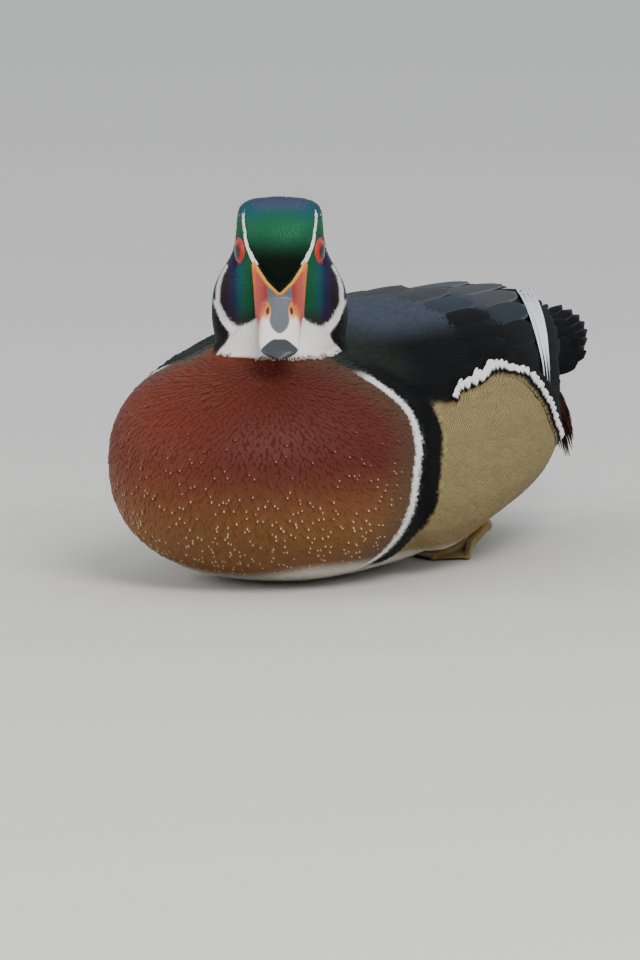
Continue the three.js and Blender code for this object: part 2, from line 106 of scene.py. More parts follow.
def section(angle, y, half_width, low, middle, high):
    """A slightly squared oval across the body, by the angle round it."""
    across, up = np.cos(angle), np.sin(angle)
    x = half_width * np.sign(across) * np.abs(across) ** (2 / SQUARENESS)
    reach = np.where(up > 0, high - middle, middle - low)
    return points(x, y, middle + np.sign(up) * reach * np.abs(up) ** (2 / SQUARENESS))


# Along the body: half width, middle and top of the mantle under the wings, and of the torso
mantle_width = through(
    (-70, 44), (-45, 60), (-15, 68), (25, 71), (60, 69.5),
    (92, 64), (125, 52), (150, 43), (175, 31), (190, 19),
)
mantle_middle = through((-70, 50), (20, 52), (100, 56), (150, 62), (190, 74))
mantle_top = through(
    (-70, 101), (-45, 107), (-15, 110.5), (25, 113), (70, 113), (110, 111.5), (150, 109), (190, 103),
)
torso_width = through((-113, 70), (-30, 70), (0, 67.5), (45, 65), (80, 60), (120, 47), (150, 35), (184, 20))
torso_low = through(
    (-113, -2), (-10, -2), (30, -1.2), (45, 3), (60, 9), (90, 15), (125, 27), (155, 42), (184, 60),
)
torso_middle = through((-113, NOSE_HEIGHT), (-30, 50), (40, 48), (100, 50), (150, 60), (184, 70))
torso_top = through(
    (-113, 106), (-60, 104), (-30, 105), (10, 107), (50, 107), (90, 102), (130, 91), (184, 79),
)
# The flank's upper edge along the body, and the front of the white side bar up the body
flank_upper_edge = through(
    (-24, 60), (-14, 79), (5, 80), (15, 83), (33, 84.6), (50, 86.8),
    (68, 84.5), (80, 78), (90, 69), (100, 59), (120, 47), (150, 38),
)
bar_front = through(
    (20, -33), (36, -32.3), (48, -31.9), (60, -28.5), (70, -27.4),
    (76, -28.5), (82, -32.8), (88, -37.8), (96, -43),
)


def torso_at(angle, y):
    full = rounding(y - BREAST_FRONT, BREAST_DEPTH) * rounding(TORSO_END - y, RUMP_ROUNDING)
    middle = torso_middle(y)
    low, high = middle + (torso_low(y) - middle) * full, middle + (torso_top(y) - middle) * full
    return section(angle, y, torso_width(y) * full, low, middle, high)


def mantle_at(angle, y, grow=0.0):
    middle = mantle_middle(y)
    return section(angle, y, mantle_width(y) + grow, middle - MANTLE_DEPTH, middle, mantle_top(y) + grow)


tail_height = through((TAIL_ROOT, 60), (190, 64), (TAIL_TIP, 67))
tail_arch = through((TAIL_ROOT, 17), (185, 22), (TAIL_TIP, 25))
tail_spread = through((TAIL_ROOT, 16), (185, 24), (TAIL_TIP, 30))


def tail_at(lean, y, grow=0.0):
    side, up = np.sin(lean), np.cos(lean)
    return points(side * (tail_spread(y) + grow), y, tail_height(y) + up * (tail_arch(y) + grow))


# Up the head from the eyes: half width, back and front
crest_width = through(
    (-44, 27), (-36, 29.5), (-28, 30.5), (-17, 29.5), (-9, 26), (-2, 21.8), (8, 20), (15, 19.6), (24, 17),
)
crest_back = through((-44, 33), (-32, 38), (-20, 40), (0, 40.5), (10, 39), (18, 34), (24, 25))
face_front = through(
    (-62, 20), (-46, 15), (-36, 12), (-26, 11.5), (-17, 14.6), (-8, 15.8),
    (0, 14.6), (7, 11.5), (13, 6.5), (18, 0), (24, -12),
)


def crest_at(angle, height, grow=0.0):
    shrink = rounding(CROWN + grow - height, CROWN_ROUNDING)
    front = face_front(height) + grow
    back = crest_back(height) + grow
    summit = (face_front(CROWN) - crest_back(CROWN)) / 2
    forward = summit + ((front - back) / 2 + (front + back) / 2 * np.cos(angle) - summit) * shrink
    return from_head(points((crest_width(height) + grow) * np.sin(angle) * shrink, -forward, height))


TURN = np.array([
    [cos(HEAD_TURN), -sin(HEAD_TURN), 0],
    [sin(HEAD_TURN), cos(HEAD_TURN), 0],
    [0, 0, 1],
])
PITCH = np.array([
    [1, 0, 0],
    [0, cos(BILL_PITCH), -sin(BILL_PITCH)],
    [0, sin(BILL_PITCH), cos(BILL_PITCH)],
])


def from_head(place):
    """From the head's own frame, whose origin lies between the eyes, to the bird's."""
    return place @ TURN.T + HEAD


def to_head(place):
    return (place - HEAD) @ TURN


# Colours
def rgb(code):
    parts = np.array([int(code[i : i + 2], 16) for i in (0, 2, 4)]) / 255
    return np.where(parts < 0.04045, parts / 12.92, ((parts + 0.055) / 1.055) ** 2.4)


def blend(under, over, share):
    share = np.asarray(share)[..., None]
    return under * (1 - share) + over * share


WHITE = rgb("eeebe4")
CHESTNUT = rgb("6e2f1d")
PLUM = rgb("4e1d17")
GOLDEN = rgb("80592c")
OLIVE = rgb("4d3d2a")
BUFF = rgb("9c8b60")
BLACK = rgb("08080a")
SOOT = rgb("19191c")
BELLY = rgb("d9d4c8")
SLATE_SHEEN = rgb("47515e")
MOSS = rgb("262b24")
VELVET = rgb("0c0d10")
ASH = rgb("55585b")
GREEN = rgb("1c6040")
DEEP_GREEN = rgb("0a170f")
TEAL = rgb("1a5560")
INDIGO = rgb("211c3d")
VIOLET = rgb("4d4870")
UMBER = rgb("2a171b")
COAL = rgb("101113")
FLIGHT_EDGE = rgb("2a2d31")
WEB_WHITE = rgb("eceef1")
WEB_LINE = rgb("70767d")
WAVE_BROWN = rgb("33291a")
SPOT_CREAM = rgb("d8c7a4")
RIM_GREY = rgb("8d9499")
PLUME_BROWN = rgb("5a3320")
BILL_RED = rgb("931b15")
BILL_PINK_HIGHLIGHT = rgb("c9796b")
BILL_ROSE = rgb("cf6a5c")
BILL_ORANGE = rgb("d9722f")
BILL_CREAM = rgb("efe6d8")
BILL_YELLOW = rgb("dd8a1e")
GAPE_ORANGE = rgb("c8601f")
SHIELD_GREY = rgb("5d6266")
NAIL_GREY = rgb("34373b")
NOSTRIL_BROWN = rgb("3a1a12")
PUPIL = rgb("040404")
IRIS_INNER = rgb("8a1009")
IRIS_OUTER = rgb("c4261a")
LID_RED = rgb("a5332a")
LEG_YELLOW = rgb("8a6f2c")
FLOOR_GREY = rgb("d8d6d1")


EDGE_BLUR = 0.25


def near_path(place, path):
    """1 inside a band along a path whose stations are side, height and half width, 0 outside it."""
    inside = np.zeros(place.shape[:-1])
    for start, end in zip(path[:-1], path[1:]):
        start, end = np.array(start, float), np.array(end, float)
        run = (end - start)[:2]
        t = np.clip(((place - start[:2]) @ run) / (run @ run), 0, 1)
        away = np.linalg.norm(place - (start[:2] + run * t[..., None]), axis=-1)
        width = start[2] + (end[2] - start[2]) * t
        inside = np.maximum(inside, smooth(width + EDGE_BLUR, width - EDGE_BLUR, away))
    return inside


# Marks on the head, from the front: side, height from the eyes and half width
BROW = [
    (9.4, -5.0, 0.9), (11.2, -2.8, 0.95), (13.6, 2.0, 0.65),
    (14.8, 6.0, 0.5), (15.5, 10.5, 0.42), (15.9, 16.5, 0.3),
]
CRESCENT = [
    (22.6, -7, 0.35), (25.0, -11.5, 0.6), (26.2, -16, 0.75),
    (26.5, -22.7, 0.85), (24.2, -29.4, 1.1), (19, -34, 2.0),
]
# The line over the cheek, from the side: forward, height and half width
SIDE_LINE = [(-8.5, 15.0, 0.2), (-13, 13.6, 0.45), (-20, 10.5, 0.8), (-30, 4, 1.0)]
cheek_floor = through((0, -19), (8, -24), (10, -27.5), (14, -30.5), (18, -31.5), (22, -29), (26, -22))
throat_edge = through((-48, 29), (-43, 26), (-39, 22.8), (-35, 21.5), (-31, 24.5), (-20, 30))
forehead_edge = through((-16.2, 0), (-11.2, 5), (-2.4, 10.8), (4, 14.6), (9, 16.5), (15, 17.4))
lobe_edge = through((-30, 10.2), (-14, 11.2), (-4.2, 12), (-2.4, 10.8))


def head_colour(place):
    local = to_head(place)
    side, forward, height = np.abs(local[..., 0]), -local[..., 1], local[..., 2]
    cheek = blend(GREEN * 0.75, TEAL * 0.8, smooth(14, 18, side))
    cheek = blend(cheek, INDIGO, smooth(16.5, 20, side) * 0.9)
    cheek = blend(cheek, UMBER, np.maximum(smooth(20, 23.5, side), smooth(-21, -29, height) * 0.8) * 0.9)
    crown = blend(DEEP_GREEN * 0.6, GREEN, smooth(-3, 12, height))
    crown = blend(crown, TEAL, smooth(11, 18, height) * (0.4 + 0.6 * smooth(4, 15, side)))
    crown = blend(crown, VIOLET, smooth(15, 22, height) * smooth(17, 8, side))
    behind = blend(GREEN * 0.55, INDIGO, smooth(-4, -24, forward))
    crown = blend(crown, behind, smooth(-6, -20, forward))
    above = smooth(-1.5, 1.5, side - forehead_edge(height)) * smooth(8, 0, height) * smooth(-16, -4, forward)
    colour = blend(crown, cheek, np.maximum(above, smooth(-1, -4, height) * smooth(9, 11, side)))
    past_throat = side - throat_edge(height)
    outer = np.maximum(smooth(-10, -14, forward) * smooth(4, -8, height), smooth(0.3, 1.5, past_throat))
    nape = outer * smooth(3, -6, height)
    colour = blend(colour, BLACK, nape)
    outside_crescent = smooth(24.6, 25.4, side - 1.2 * smooth(-10, -16, height)) * smooth(-1, -5, height)
    colour = blend(colour, BLACK, outside_crescent)
    ahead = smooth(-14, -10, forward)
    throat = smooth(0.5, -0.5, height - cheek_floor(side)) * smooth(0.5, -0.5, past_throat) * ahead
    colour = blend(colour, WHITE, throat)
    return blend(colour, WHITE, near_path(np.stack([side, height], axis=-1), CRESCENT) * ahead)


BAR_LEAN = 20


def bar_line(place):
    """Distance behind the front of the white side bar, which leans forward over the right shoulder."""
    lean = BAR_LEAN * smooth(0, -40, place[..., 0]) * smooth(54, 78, place[..., 2])
    return place[..., 1] - bar_front(place[..., 2]) + lean


def body_colour(place):
    x, y, z = place[..., 0], place[..., 1], place[..., 2]
    behind = bar_line(place)
    breast = blend(PLUM, CHESTNUT, smooth(40, -50, x) * 0.8 + 0.2)
    breast = blend(breast, GOLDEN, smooth(60, 26, z) * 0.65)
    breast = blend(breast, OLIVE, smooth(-26, 0, behind) * 0.7)
    # Painted sheen: the dark back lightens to slate-blue towards its top, where the feathers' gloss catches
    # the light
    back = blend(VELVET, SLATE_SHEEN, smooth(99, 109, z) * 0.7)
    back = blend(back, MOSS, smooth(8, -30, y) * smooth(84, 93, z) * 0.85)
    flank = blend(BUFF, GOLDEN, smooth(34, 10, z) * 0.25)
    colour = blend(breast, flank, smooth(1, 3, behind))
    edge = flank_upper_edge(y)
    colour = blend(colour, BLACK, smooth(edge - 5, edge - 3, z) * smooth(0, 3, behind))
    colour = blend(colour, back, smooth(edge + 1, edge + 4, z) * smooth(0, 3, behind))
    colour = blend(colour, SOOT, smooth(146, 156, y))
    colour = blend(colour, BELLY, smooth(14, 7, z) * smooth(-75, -60, y))
    black_bar = smooth(4.4, 5.2, behind) * smooth(20.5, 19, behind) * smooth(100, 90, z) * smooth(6, 9, z)
    white_bar = smooth(-0.6, 0.2, behind) * smooth(5.6, 5.0, behind) * smooth(94, 89, z)
    return blend(blend(colour, BLACK, black_bar), WHITE, white_bar)


HEAD_MIDDLE, HEAD_RADIUS, HEAD_FLOOR, SHOULDER_HEIGHT = 8, 35, -44, 97


def is_head(place):
    local = to_head(place)
    around = np.hypot(local[..., 0], local[..., 1] - HEAD_MIDDLE)
    floor = HEAD_FLOOR + 6 * smooth(0, 16, local[..., 1])
    return (local[..., 2] > floor) & (around < HEAD_RADIUS) & (place[..., 2] > SHOULDER_HEIGHT)


def coat_colour(place):
    return np.where(is_head(place)[..., None], head_colour(place), body_colour(place))


# Meshes
def new_mesh(name, corners, faces):
    mesh = bpy.data.meshes.new(name)
    mesh.vertices.add(len(corners))
    mesh.vertices.foreach_set("co", (np.asarray(corners, float) * MM).ravel())
    sizes = np.full(len(faces), faces.shape[1])
    mesh.loops.add(faces.size)
    mesh.loops.foreach_set("vertex_index", faces.ravel())
    mesh.polygons.add(len(faces))
    mesh.polygons.foreach_set("loop_start", np.concatenate([[0], np.cumsum(sizes)[:-1]]))
    mesh.update(calc_edges=True)
    mesh.validate()
    mesh.polygons.foreach_set("use_smooth", np.ones(len(mesh.polygons), bool))
    return mesh


def place_mesh(name, mesh, *materials):
    piece = bpy.data.objects.new(name, mesh)
    bpy.context.scene.collection.objects.link(piece)
    for material in materials:
        mesh.materials.append(material)
    return piece


def corners_of(mesh, what="co"):
    """A mesh's corners, or their outward directions, one row each."""
    values = np.empty(len(mesh.vertices) * 3)
    mesh.vertices.foreach_get(what, values)
    return values.reshape(-1, 3)


def faces_of(mesh):
    return [list(face.vertices) for face in mesh.polygons]


def evened(piece, grain, rounds):
    """A piece's form in even faces and softened: corners, outward directions and faces."""
    remesh = piece.modifiers.new("even", "REMESH")
    remesh.mode, remesh.voxel_size = "VOXEL", grain * MM
    soften = piece.modifiers.new("soften", "SMOOTH")
    soften.factor, soften.iterations = 0.6, rounds
    shaped = piece.evaluated_get(bpy.context.evaluated_depsgraph_get()).to_mesh()
    form = corners_of(shaped) / MM, corners_of(shaped, "normal"), np.array(faces_of(shaped))
    bpy.data.objects.remove(piece)
    return form


def evened_node(node, grain, rounds):
    """A finer, softer copy of a solid: corners and faces."""
    piece = place_mesh(f"even {node}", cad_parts[node].data.copy())
    corners, _, faces = evened(piece, grain, rounds)
    return corners, faces


def set_paint(mesh, name, values):
    layer = mesh.attributes.new(name, "FLOAT_COLOR", "POINT")
    full = np.concatenate([values, np.ones((*values.shape[:-1], 4 - values.shape[-1]))], axis=-1)
    layer.data.foreach_set("color", full.astype(np.float32).ravel())


def grid_faces(rows, columns, closed=False):
    across = columns if closed else columns - 1
    i, j = np.meshgrid(np.arange(rows - 1), np.arange(across), indexing="ij")
    a = i * columns + j
    b = i * columns + (j + 1) % columns
    return np.stack([a, b, b + columns, a + columns], axis=-1).reshape(-1, 4)


def loft(surface, starts, around=48):
    """A closed form made of rings, with a pole point at each end."""
    angles = np.linspace(0, 2 * np.pi, around, endpoint=False)
    rings = [surface(angles, np.full_like(angles, start)) for start in starts]
    first, last = rings[0].mean(0), rings[-1].mean(0)
    corners = np.concatenate([np.repeat([first], around, 0), *rings, np.repeat([last], around, 0)])
    return corners, grid_faces(len(rings) + 2, around, closed=True)


# The map's body patch and head patch: left edge and width, then where each starts and how far it runs
MAP_EDGE, MAP_RUN = 0.02, 0.96
BODY_PATCH, BODY_START, BODY_SPAN = (0.02, 0.58), 116, 350
HEAD_PATCH, HEAD_START, HEAD_SPAN = (0.64, 0.34), 50, 78
TUFT_PATCH = 0.003


def unwrap(place):
    """The skin's own unwrap: rings round the body and, beside them, rings round the head."""
    local = to_head(place)
    round_body = 0.5 + np.arctan2(place[..., 0], place[..., 2] - NOSE_HEIGHT) / (2 * np.pi)
    round_head = 0.5 + np.arctan2(local[..., 0], -local[..., 1] - HEAD_MIDDLE) / (2 * np.pi)
    body = points(
        BODY_PATCH[0] + BODY_PATCH[1] * round_body,
        MAP_EDGE + MAP_RUN * (place[..., 1] + BODY_START) / BODY_SPAN,
    )
    head = points(
        HEAD_PATCH[0] + HEAD_PATCH[1] * round_head,
        MAP_EDGE + MAP_RUN * (local[..., 2] + HEAD_START) / HEAD_SPAN,
    )
    return np.where(is_head(place)[..., None], head, body)


def set_bake_map(mesh, places, patch=None):
    corner = np.empty(len(mesh.loops), int)
    mesh.loops.foreach_get("vertex_index", corner)
    spots = unwrap(places)[corner]
    if patch is not None:
        spots = spots + patch[corner] * TUFT_PATCH
    layer = mesh.uv_layers.new(name="OFBake")
    layer.data.foreach_set("uv", np.clip(spots, 0, 1).astype(np.float32).ravel())


# Shaders
class Value:
    """An output of a shader, with arithmetic."""

    def __init__(self, shader, socket):
        self.shader = shader
        self.socket = socket

    def math(self, operation, *others):
        return self.shader.node("ShaderNodeMath", {"operation": operation}, [self, *others])

    def __add__(self, other):
        return self.math("ADD", other)

    def __sub__(self, other):
        return self.math("SUBTRACT", other)

    def __mul__(self, other):
        return self.math("MULTIPLY", other)

    def __radd__(self, other):
        return self.math("ADD", other)

    def __rmul__(self, other):
        return self.math("MULTIPLY", other)

    def __rsub__(self, other):
        return self.shader.node("ShaderNodeMath", {"operation": "SUBTRACT"}, [other, self])

    def __abs__(self):
        return self.math("ABSOLUTE")

    def between(self, low, high):
        """0 at low, 1 at high and beyond, eased."""
        sockets = {"Value": self, "From Min": low, "From Max": high, "To Min": 0.0, "To Max": 1.0}
        return self.shader.node("ShaderNodeMapRange", {"interpolation_type": "SMOOTHSTEP"}, sockets)


class Shader:
    def __init__(self, name, **constants):
        self.material = bpy.data.materials.new(name)
        self.material.use_nodes = True
        self.tree = self.material.node_tree
        self.surface = self.tree.nodes["Principled BSDF"]
        for label, value in constants.items():
            self.set(label.replace("_", " ").title(), value)

    def connect(self, socket, value):
        if isinstance(value, Value):
            self.tree.links.new(value.socket, socket)
        elif hasattr(socket.default_value, "__len__"):
            given = [float(part) for part in value]
            size = len(socket.default_value)
            socket.default_value = (given + [1.0])[:size] if size > len(given) else given[:size]
        else:
            socket.default_value = float(value)

    def set(self, label, value):
        self.connect(self.surface.inputs[label], value)

    def node(self, kind, settings=None, inputs=None, output=0):
        made = self.tree.nodes.new(kind)
        for label, value in (settings or {}).items():
            setattr(made, label, value)
        pairs = inputs.items() if isinstance(inputs, dict) else enumerate(inputs or [])
        for key, value in pairs:
            self.connect(made.inputs[key], value)
        return Value(self, made.outputs[output])

    def paint(self, name, output="Color"):
        return self.node("ShaderNodeAttribute", {"attribute_name": name}, None, output)

    def parts(self, vector):
        return [self.node("ShaderNodeSeparateXYZ", None, [vector], i) for i in range(3)]

    def position(self):
        return self.node("ShaderNodeTexCoord", None, None, "Object")

    def noise(self, vector, scale):
        inputs = {"Vector": vector, "Scale": scale, "Detail": 3.0, "Roughness": 0.5}
        return self.node("ShaderNodeTexNoise", None, inputs)

    def mix(self, factor, under, over):
        return self.node("ShaderNodeMix", {"data_type": "RGBA"}, {0: factor, 6: under, 7: over}, 2)

    def scaled(self, colour, factor):
        return self.node("ShaderNodeVectorMath", {"operation": "SCALE"}, {"Vector": colour, "Scale": factor})

    def bump(self, height, strength, distance):
        inputs = {"Strength": strength, "Distance": distance, "Height": height}
        self.set("Normal", self.node("ShaderNodeBump", None, inputs))


FULL_TURN = 6.283
RELIEF = 0.0004


def feather_material(
    name, roughness, shine, metallic=0.0, barb_count=26.0, barb_strength=0.35, shade=0.14, root=0.28,
):
    """Feathers: painted colour, shaft, barbs, pale spots and fine wavy lines where the coat carries them."""
    shader = Shader(name, roughness=roughness, metallic=metallic)
    shader.set("Specular IOR Level", shine)
    across, along, chance = shader.parts(shader.paint("place", "Vector"))
    spot, waves, edge = shader.parts(shader.paint("detail", "Vector"))
    from_shaft = abs(across - 0.5) * 2.0
    barbs = ((along - from_shaft * 0.3) * (barb_count * FULL_TURN)).math("SINE")
    colour = shader.scaled(shader.paint("paint"), (1 - shade * 0.5) + chance * shade)
    colour = shader.scaled(colour, 0.93 + barbs * 0.07)
    # Painted shade: every feather darker towards its root, where it lies under the feathers ahead of it; root
    # gives how much
    colour = shader.scaled(colour, (1 - root) + along.between(0.1, 0.7) * root)
    x, y, z = shader.parts(shader.position())
    wobble = shader.noise(shader.position(), 160.0)
    ripple = ((y * 3600.0 - z * 4400.0 + x * 1500.0) + wobble * 16.0).math("SINE")
    lines = ripple.between(0.1, 0.9) * waves
    colour = shader.mix(lines * 0.75, colour, WAVE_BROWN)
    wedge = (along - (1.0 - spot * 0.62)) * 1.9 - from_shaft
    pale = wedge.between(-0.05, 0.12) * along.between(1.0, 0.93) * spot.between(0.02, 0.06)
    colour = shader.mix(pale * 0.85, colour, SPOT_CREAM)
    rim = (from_shaft.between(0.74, 0.95) + along.between(0.9, 0.985)).math("MINIMUM", 1.0)
    shader.set("Base Color", shader.mix(rim * edge, colour, RIM_GREY))
    shaft = from_shaft.between(0.1, 0.0)
    shader.bump(barbs * 0.5 + shaft, barb_strength, RELIEF)
    return shader.material


def plain_material(name, colour, roughness, grain=0.0, grain_size=900.0):
    shader = Shader(name, roughness=roughness)
    noise = shader.noise(shader.position(), grain_size)
    shader.set("Base Color", shader.mix(noise.between(0.3, 0.7) * 0.35, colour, np.array(colour) * 0.7))
    if grain:
        shader.bump(noise, grain, RELIEF)
    return shader.material


# Skin: the flesh of every node, joined and smoothed, a coat's depth inside the solids
FLESH = ["breast", "torso", "neck", "head", "flank_left", "flank_right"]
EYE_BULGE = 1.7


def eye_mound(sign):
    """The ball that lifts the feathers round an eye."""

    def surface(angle, polar):
        around = points(np.cos(angle) * np.sin(polar), np.sin(angle) * np.sin(polar), np.cos(polar))
        return from_head(EYE_CENTRE * [sign, 1, 1] + around * (EYE_RADIUS + EYE_BULGE))

    return surface


def bare_skin():
    solids = [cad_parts[node].data for node in FLESH]
    parts = [(corners_of(solid) / MM, faces_of(solid)) for solid in solids]
    t = np.linspace(0, 1, 70)
    spread = 0.4 * t + 0.6 * (1 - np.cos(t * np.pi / 2))
    rows = BREAST_FRONT + 0.05 + (TORSO_END - 0.1 - BREAST_FRONT) * spread
    torso, torso_faces = loft(torso_at, rows, 96)
    torso[:, 2] = np.maximum(torso[:, 2], 0)
    lofts = [
        (torso, torso_faces),
        loft(lambda angle, y: mantle_at(angle, y, -0.8), np.linspace(-66, 158, 30)),
        loft(lambda angle, height: crest_at(angle, height, -0.3), np.linspace(22, -40, 22)),
        *(loft(eye_mound(sign), np.linspace(0.1, 3.04, 20)) for sign in (1, -1)),
    ]
    parts += [(corners, faces.tolist()) for corners, faces in lofts]
    everything, polygons, start = [], [], 0
    for corners, faces in parts:
        everything.append(corners)
        polygons += [[index + start for index in face] for face in faces]
        start += len(corners)
    mesh = bpy.data.meshes.new("flesh")
    mesh.from_pydata((np.concatenate(everything) * MM).tolist(), [], polygons)
    corners, normals, faces = evened(place_mesh("flesh", mesh), SKIN_GRAIN, 9)
    corners -= normals * COAT_DEPTH
    corners[:, 2] = np.maximum(corners[:, 2], SKIN_FLOOR)
    return corners, faces


skin_corners, skin_faces = bare_skin()
skin_tree = BVHTree.FromPolygons(skin_corners.tolist(), skin_faces.tolist())


def unit(vectors):
    return vectors / np.maximum(np.linalg.norm(vectors, axis=-1, keepdims=True), 1e-9)


def socketed(corners):
    """The skin pushed in behind each eye's opening."""
    local = to_head(corners)
    flip = points(np.sign(local[:, 0]), 1, 1)
    away = local - EYE_CENTRE * flip
    reach = np.linalg.norm(away, axis=-1)
    inside = ((unit(away) * EYE_OUT * flip).sum(-1) > cos(SOCKET_ANGLE)) & (reach < SOCKET_REACH)
    pushed = EYE_CENTRE * flip + away * np.minimum(1, SOCKET_DEPTH / np.maximum(reach, 1e-6))[:, None]
    return np.where(inside[:, None], from_head(pushed), corners)


def on_skin(places):
    """The nearest place on the skin and its outward direction, for every place given."""
    flat = places.reshape(-1, 3)
    found = [skin_tree.find_nearest(spot) for spot in flat.tolist()]
    spots = np.array([hit[0][:] for hit in found]).reshape(places.shape)
    normals = np.array([hit[1][:] for hit in found]).reshape(places.shape)
    return spots, normals


face_corners = skin_corners[skin_faces]
face_middle = face_corners.mean(1)
face_normal = unit(np.cross(face_corners[:, 2] - face_corners[:, 0], face_corners[:, 3] - face_corners[:, 1]))


FAR = (1e6, 1e6, 1e6)


def scatter(mask, spacing):
    """Roots spread evenly over part of the skin, no two nearer than the spacing."""
    chosen = np.flatnonzero(mask)
    order = rng.permutation(np.repeat(chosen, 2 + ceil(3 * (SKIN_GRAIN / spacing) ** 2)))
    mixed = rng.dirichlet([1, 1, 1, 1], len(order))
    spots = (skin_corners[skin_faces[order]] * mixed[..., None]).sum(1)
    cells = np.floor(spots / spacing).astype(int)
    taken, kept = {}, []
    near = [(i, j, k) for i in (-1, 0, 1) for j in (-1, 0, 1) for k in (-1, 0, 1)]
    for number, ((a, b, c), (x, y, z)) in enumerate(zip(cells.tolist(), spots.tolist())):
        for i, j, k in near:
            u, v, w = taken.get((a + i, b + j, c + k), FAR)
            if (u - x) ** 2 + (v - y) ** 2 + (w - z) ** 2 < spacing**2:
                break
        else:
            taken[(a, b, c)] = (x, y, z)
            kept.append(number)
    return spots[kept], face_normal[order[kept]]


# The lie of the coat
NAPE = np.array([13.0, -56.0, 112.0])


def along_skin(heading, normals):
    return unit(heading - normals * (heading * normals).sum(-1, keepdims=True))


def body_lie(spots, normals):
    away, y = unit(spots - NAPE), spots[:, 1:2]
    heading = away * smooth(40, -60, y) + np.array([0, 1.0, 0]) * smooth(-110, -20, y) * 1.5
    return along_skin(heading + rng.normal(0, 0.06, spots.shape), normals)


def head_lie(spots, normals):
    local, facing = to_head(spots), normals @ TURN
    ahead = np.maximum(-facing[:, 1], 0)
    below = smooth(0, -16, local[:, 2])
    upward = ahead * np.where(local[:, 2] > -10, 1.3, -1.2)
    heading = np.stack([local[:, 0] * 0.02, np.ones(len(local)), upward - 1.1 * below], axis=-1) @ TURN.T
    return along_skin(heading + rng.normal(0, 0.07, spots.shape), normals)


# Outlines of short feathers: the share of the half width at even steps from root to tip
ROUND = (0.5, 0.88, 1.0, 0.86, 0.4)
SLIM = (0.6, 1.0, 0.8, 0.2)
SOFT = (0.6, 1.0, 0.85, 0.3)
SQUARE = (0.5, 0.8, 0.95, 1.0, 0.95, 0.75, 0.25)


def coat(
    name, roots, normals, heading, length, width, lift, paint, material,
    detail=None, profile=ROUND, sink=0.35, bulge=0.22,
):
    """Short feathers rooted on the skin, bent to follow it and painted place by place."""
    count, rows = len(roots), len(profile)
    t = np.linspace(0, 1, rows)
    length, width, lift = (np.broadcast_to(np.asarray(v, float), (count,)) for v in (length, width, lift))
    line = roots[:, None] + heading[:, None] * (length[:, None] * t)[..., None]
    spots, facing = on_skin(line)
    facing = unit(facing + normals[:, None] * 0.6)
    side = unit(np.cross(facing, heading[:, None]))
    across = np.array([-1.0, 0.0, 1.0])
    reach = width[:, None] * np.array(profile)
    height = lift[:, None] * t - sink * (1 - t)
    crown = bulge * reach[..., None] * (1 - across**2)
    corners = (
        spots[:, :, None]
        + side[:, :, None] * (reach[..., None] * across)[..., None]
        + facing[:, :, None] * (height[..., None] + crown)[..., None]
    )
    corners[..., 2] = np.maximum(corners[..., 2], COAT_FLOOR)
    starts = np.arange(count) * rows * 3
    faces = (grid_faces(rows, 3) + starts[:, None, None]).reshape(-1, 4)
    mesh = new_mesh(name, corners.reshape(-1, 3), faces)
    full = (count, rows, 3)
    chance = rng.random(count)
    place = points(np.broadcast_to(across * 0.5 + 0.5, full), t[None, :, None], chance[:, None, None])
    place = place.reshape(-1, 3)
    marks = np.zeros((count, 3)) if detail is None else detail
    set_paint(mesh, "place", place)
    set_paint(mesh, "paint", paint(corners).reshape(-1, 3))
    set_paint(mesh, "detail", np.broadcast_to(marks[:, None, None], (*full, 3)).reshape(-1, 3))
    stations = np.broadcast_to(roots[:, None, None], (*full, 3)).reshape(-1, 3)
    set_bake_map(mesh, stations, place[:, :2] - 0.5)
    piece = place_mesh(name, mesh, material)
    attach(piece, "root")
    return piece


def all_white(corners):
    return np.broadcast_to(WHITE, corners.shape)


down = feather_material("body feathers", 0.65, 0.1, root=0.12)
fine = feather_material(
    "head feathers", 0.42, 0.15, metallic=0.25, barb_count=4.0, barb_strength=0.1, root=0.1,
)
glossy = feather_material("wing feathers", 0.6, 0.04, barb_count=60.0, barb_strength=0.15, shade=0.12)
velvet = feather_material(
    "back feathers", 0.65, 0.08, barb_count=14.0, barb_strength=0.2, shade=0.2, root=0.15,
)
breast_down = feather_material("breast feathers", 0.55, 0.2, barb_count=10.0, barb_strength=0.1, root=0.06)

# Where each coat grows: parts of the skin by its faces
head_faces = is_head(face_middle)
face_local = to_head(face_middle)
face_side, face_behind, face_height = np.abs(face_local[:, 0]), face_local[:, 1], face_local[:, 2]
from_eye = points(face_side, face_behind, face_height) - EYE_CENTRE
in_eye = (unit(from_eye) @ EYE_OUT > cos(BARE_EYE_ANGLE)) & (np.linalg.norm(from_eye, axis=-1) < SOCKET_REACH)
bill_base = (
    (face_behind < -4)
    & (face_side < lobe_edge(face_height) - 0.2)
    & (face_side > forehead_edge(face_height) + 0.3)
    & (face_height > -28)
    & (face_height < -2.4)
)
feathered_head = head_faces & ~in_eye & ~bill_base
face_x, face_y, face_z = face_middle.T
behind_bar = bar_line(face_middle)
under_wing = (behind_bar > 16) & (face_z > flank_upper_edge(face_y) + 3)
body_faces = ~head_faces & ~under_wing & (face_z > 1.5)
HALVES = (("left", face_x > 0), ("right", face_x <= 0))

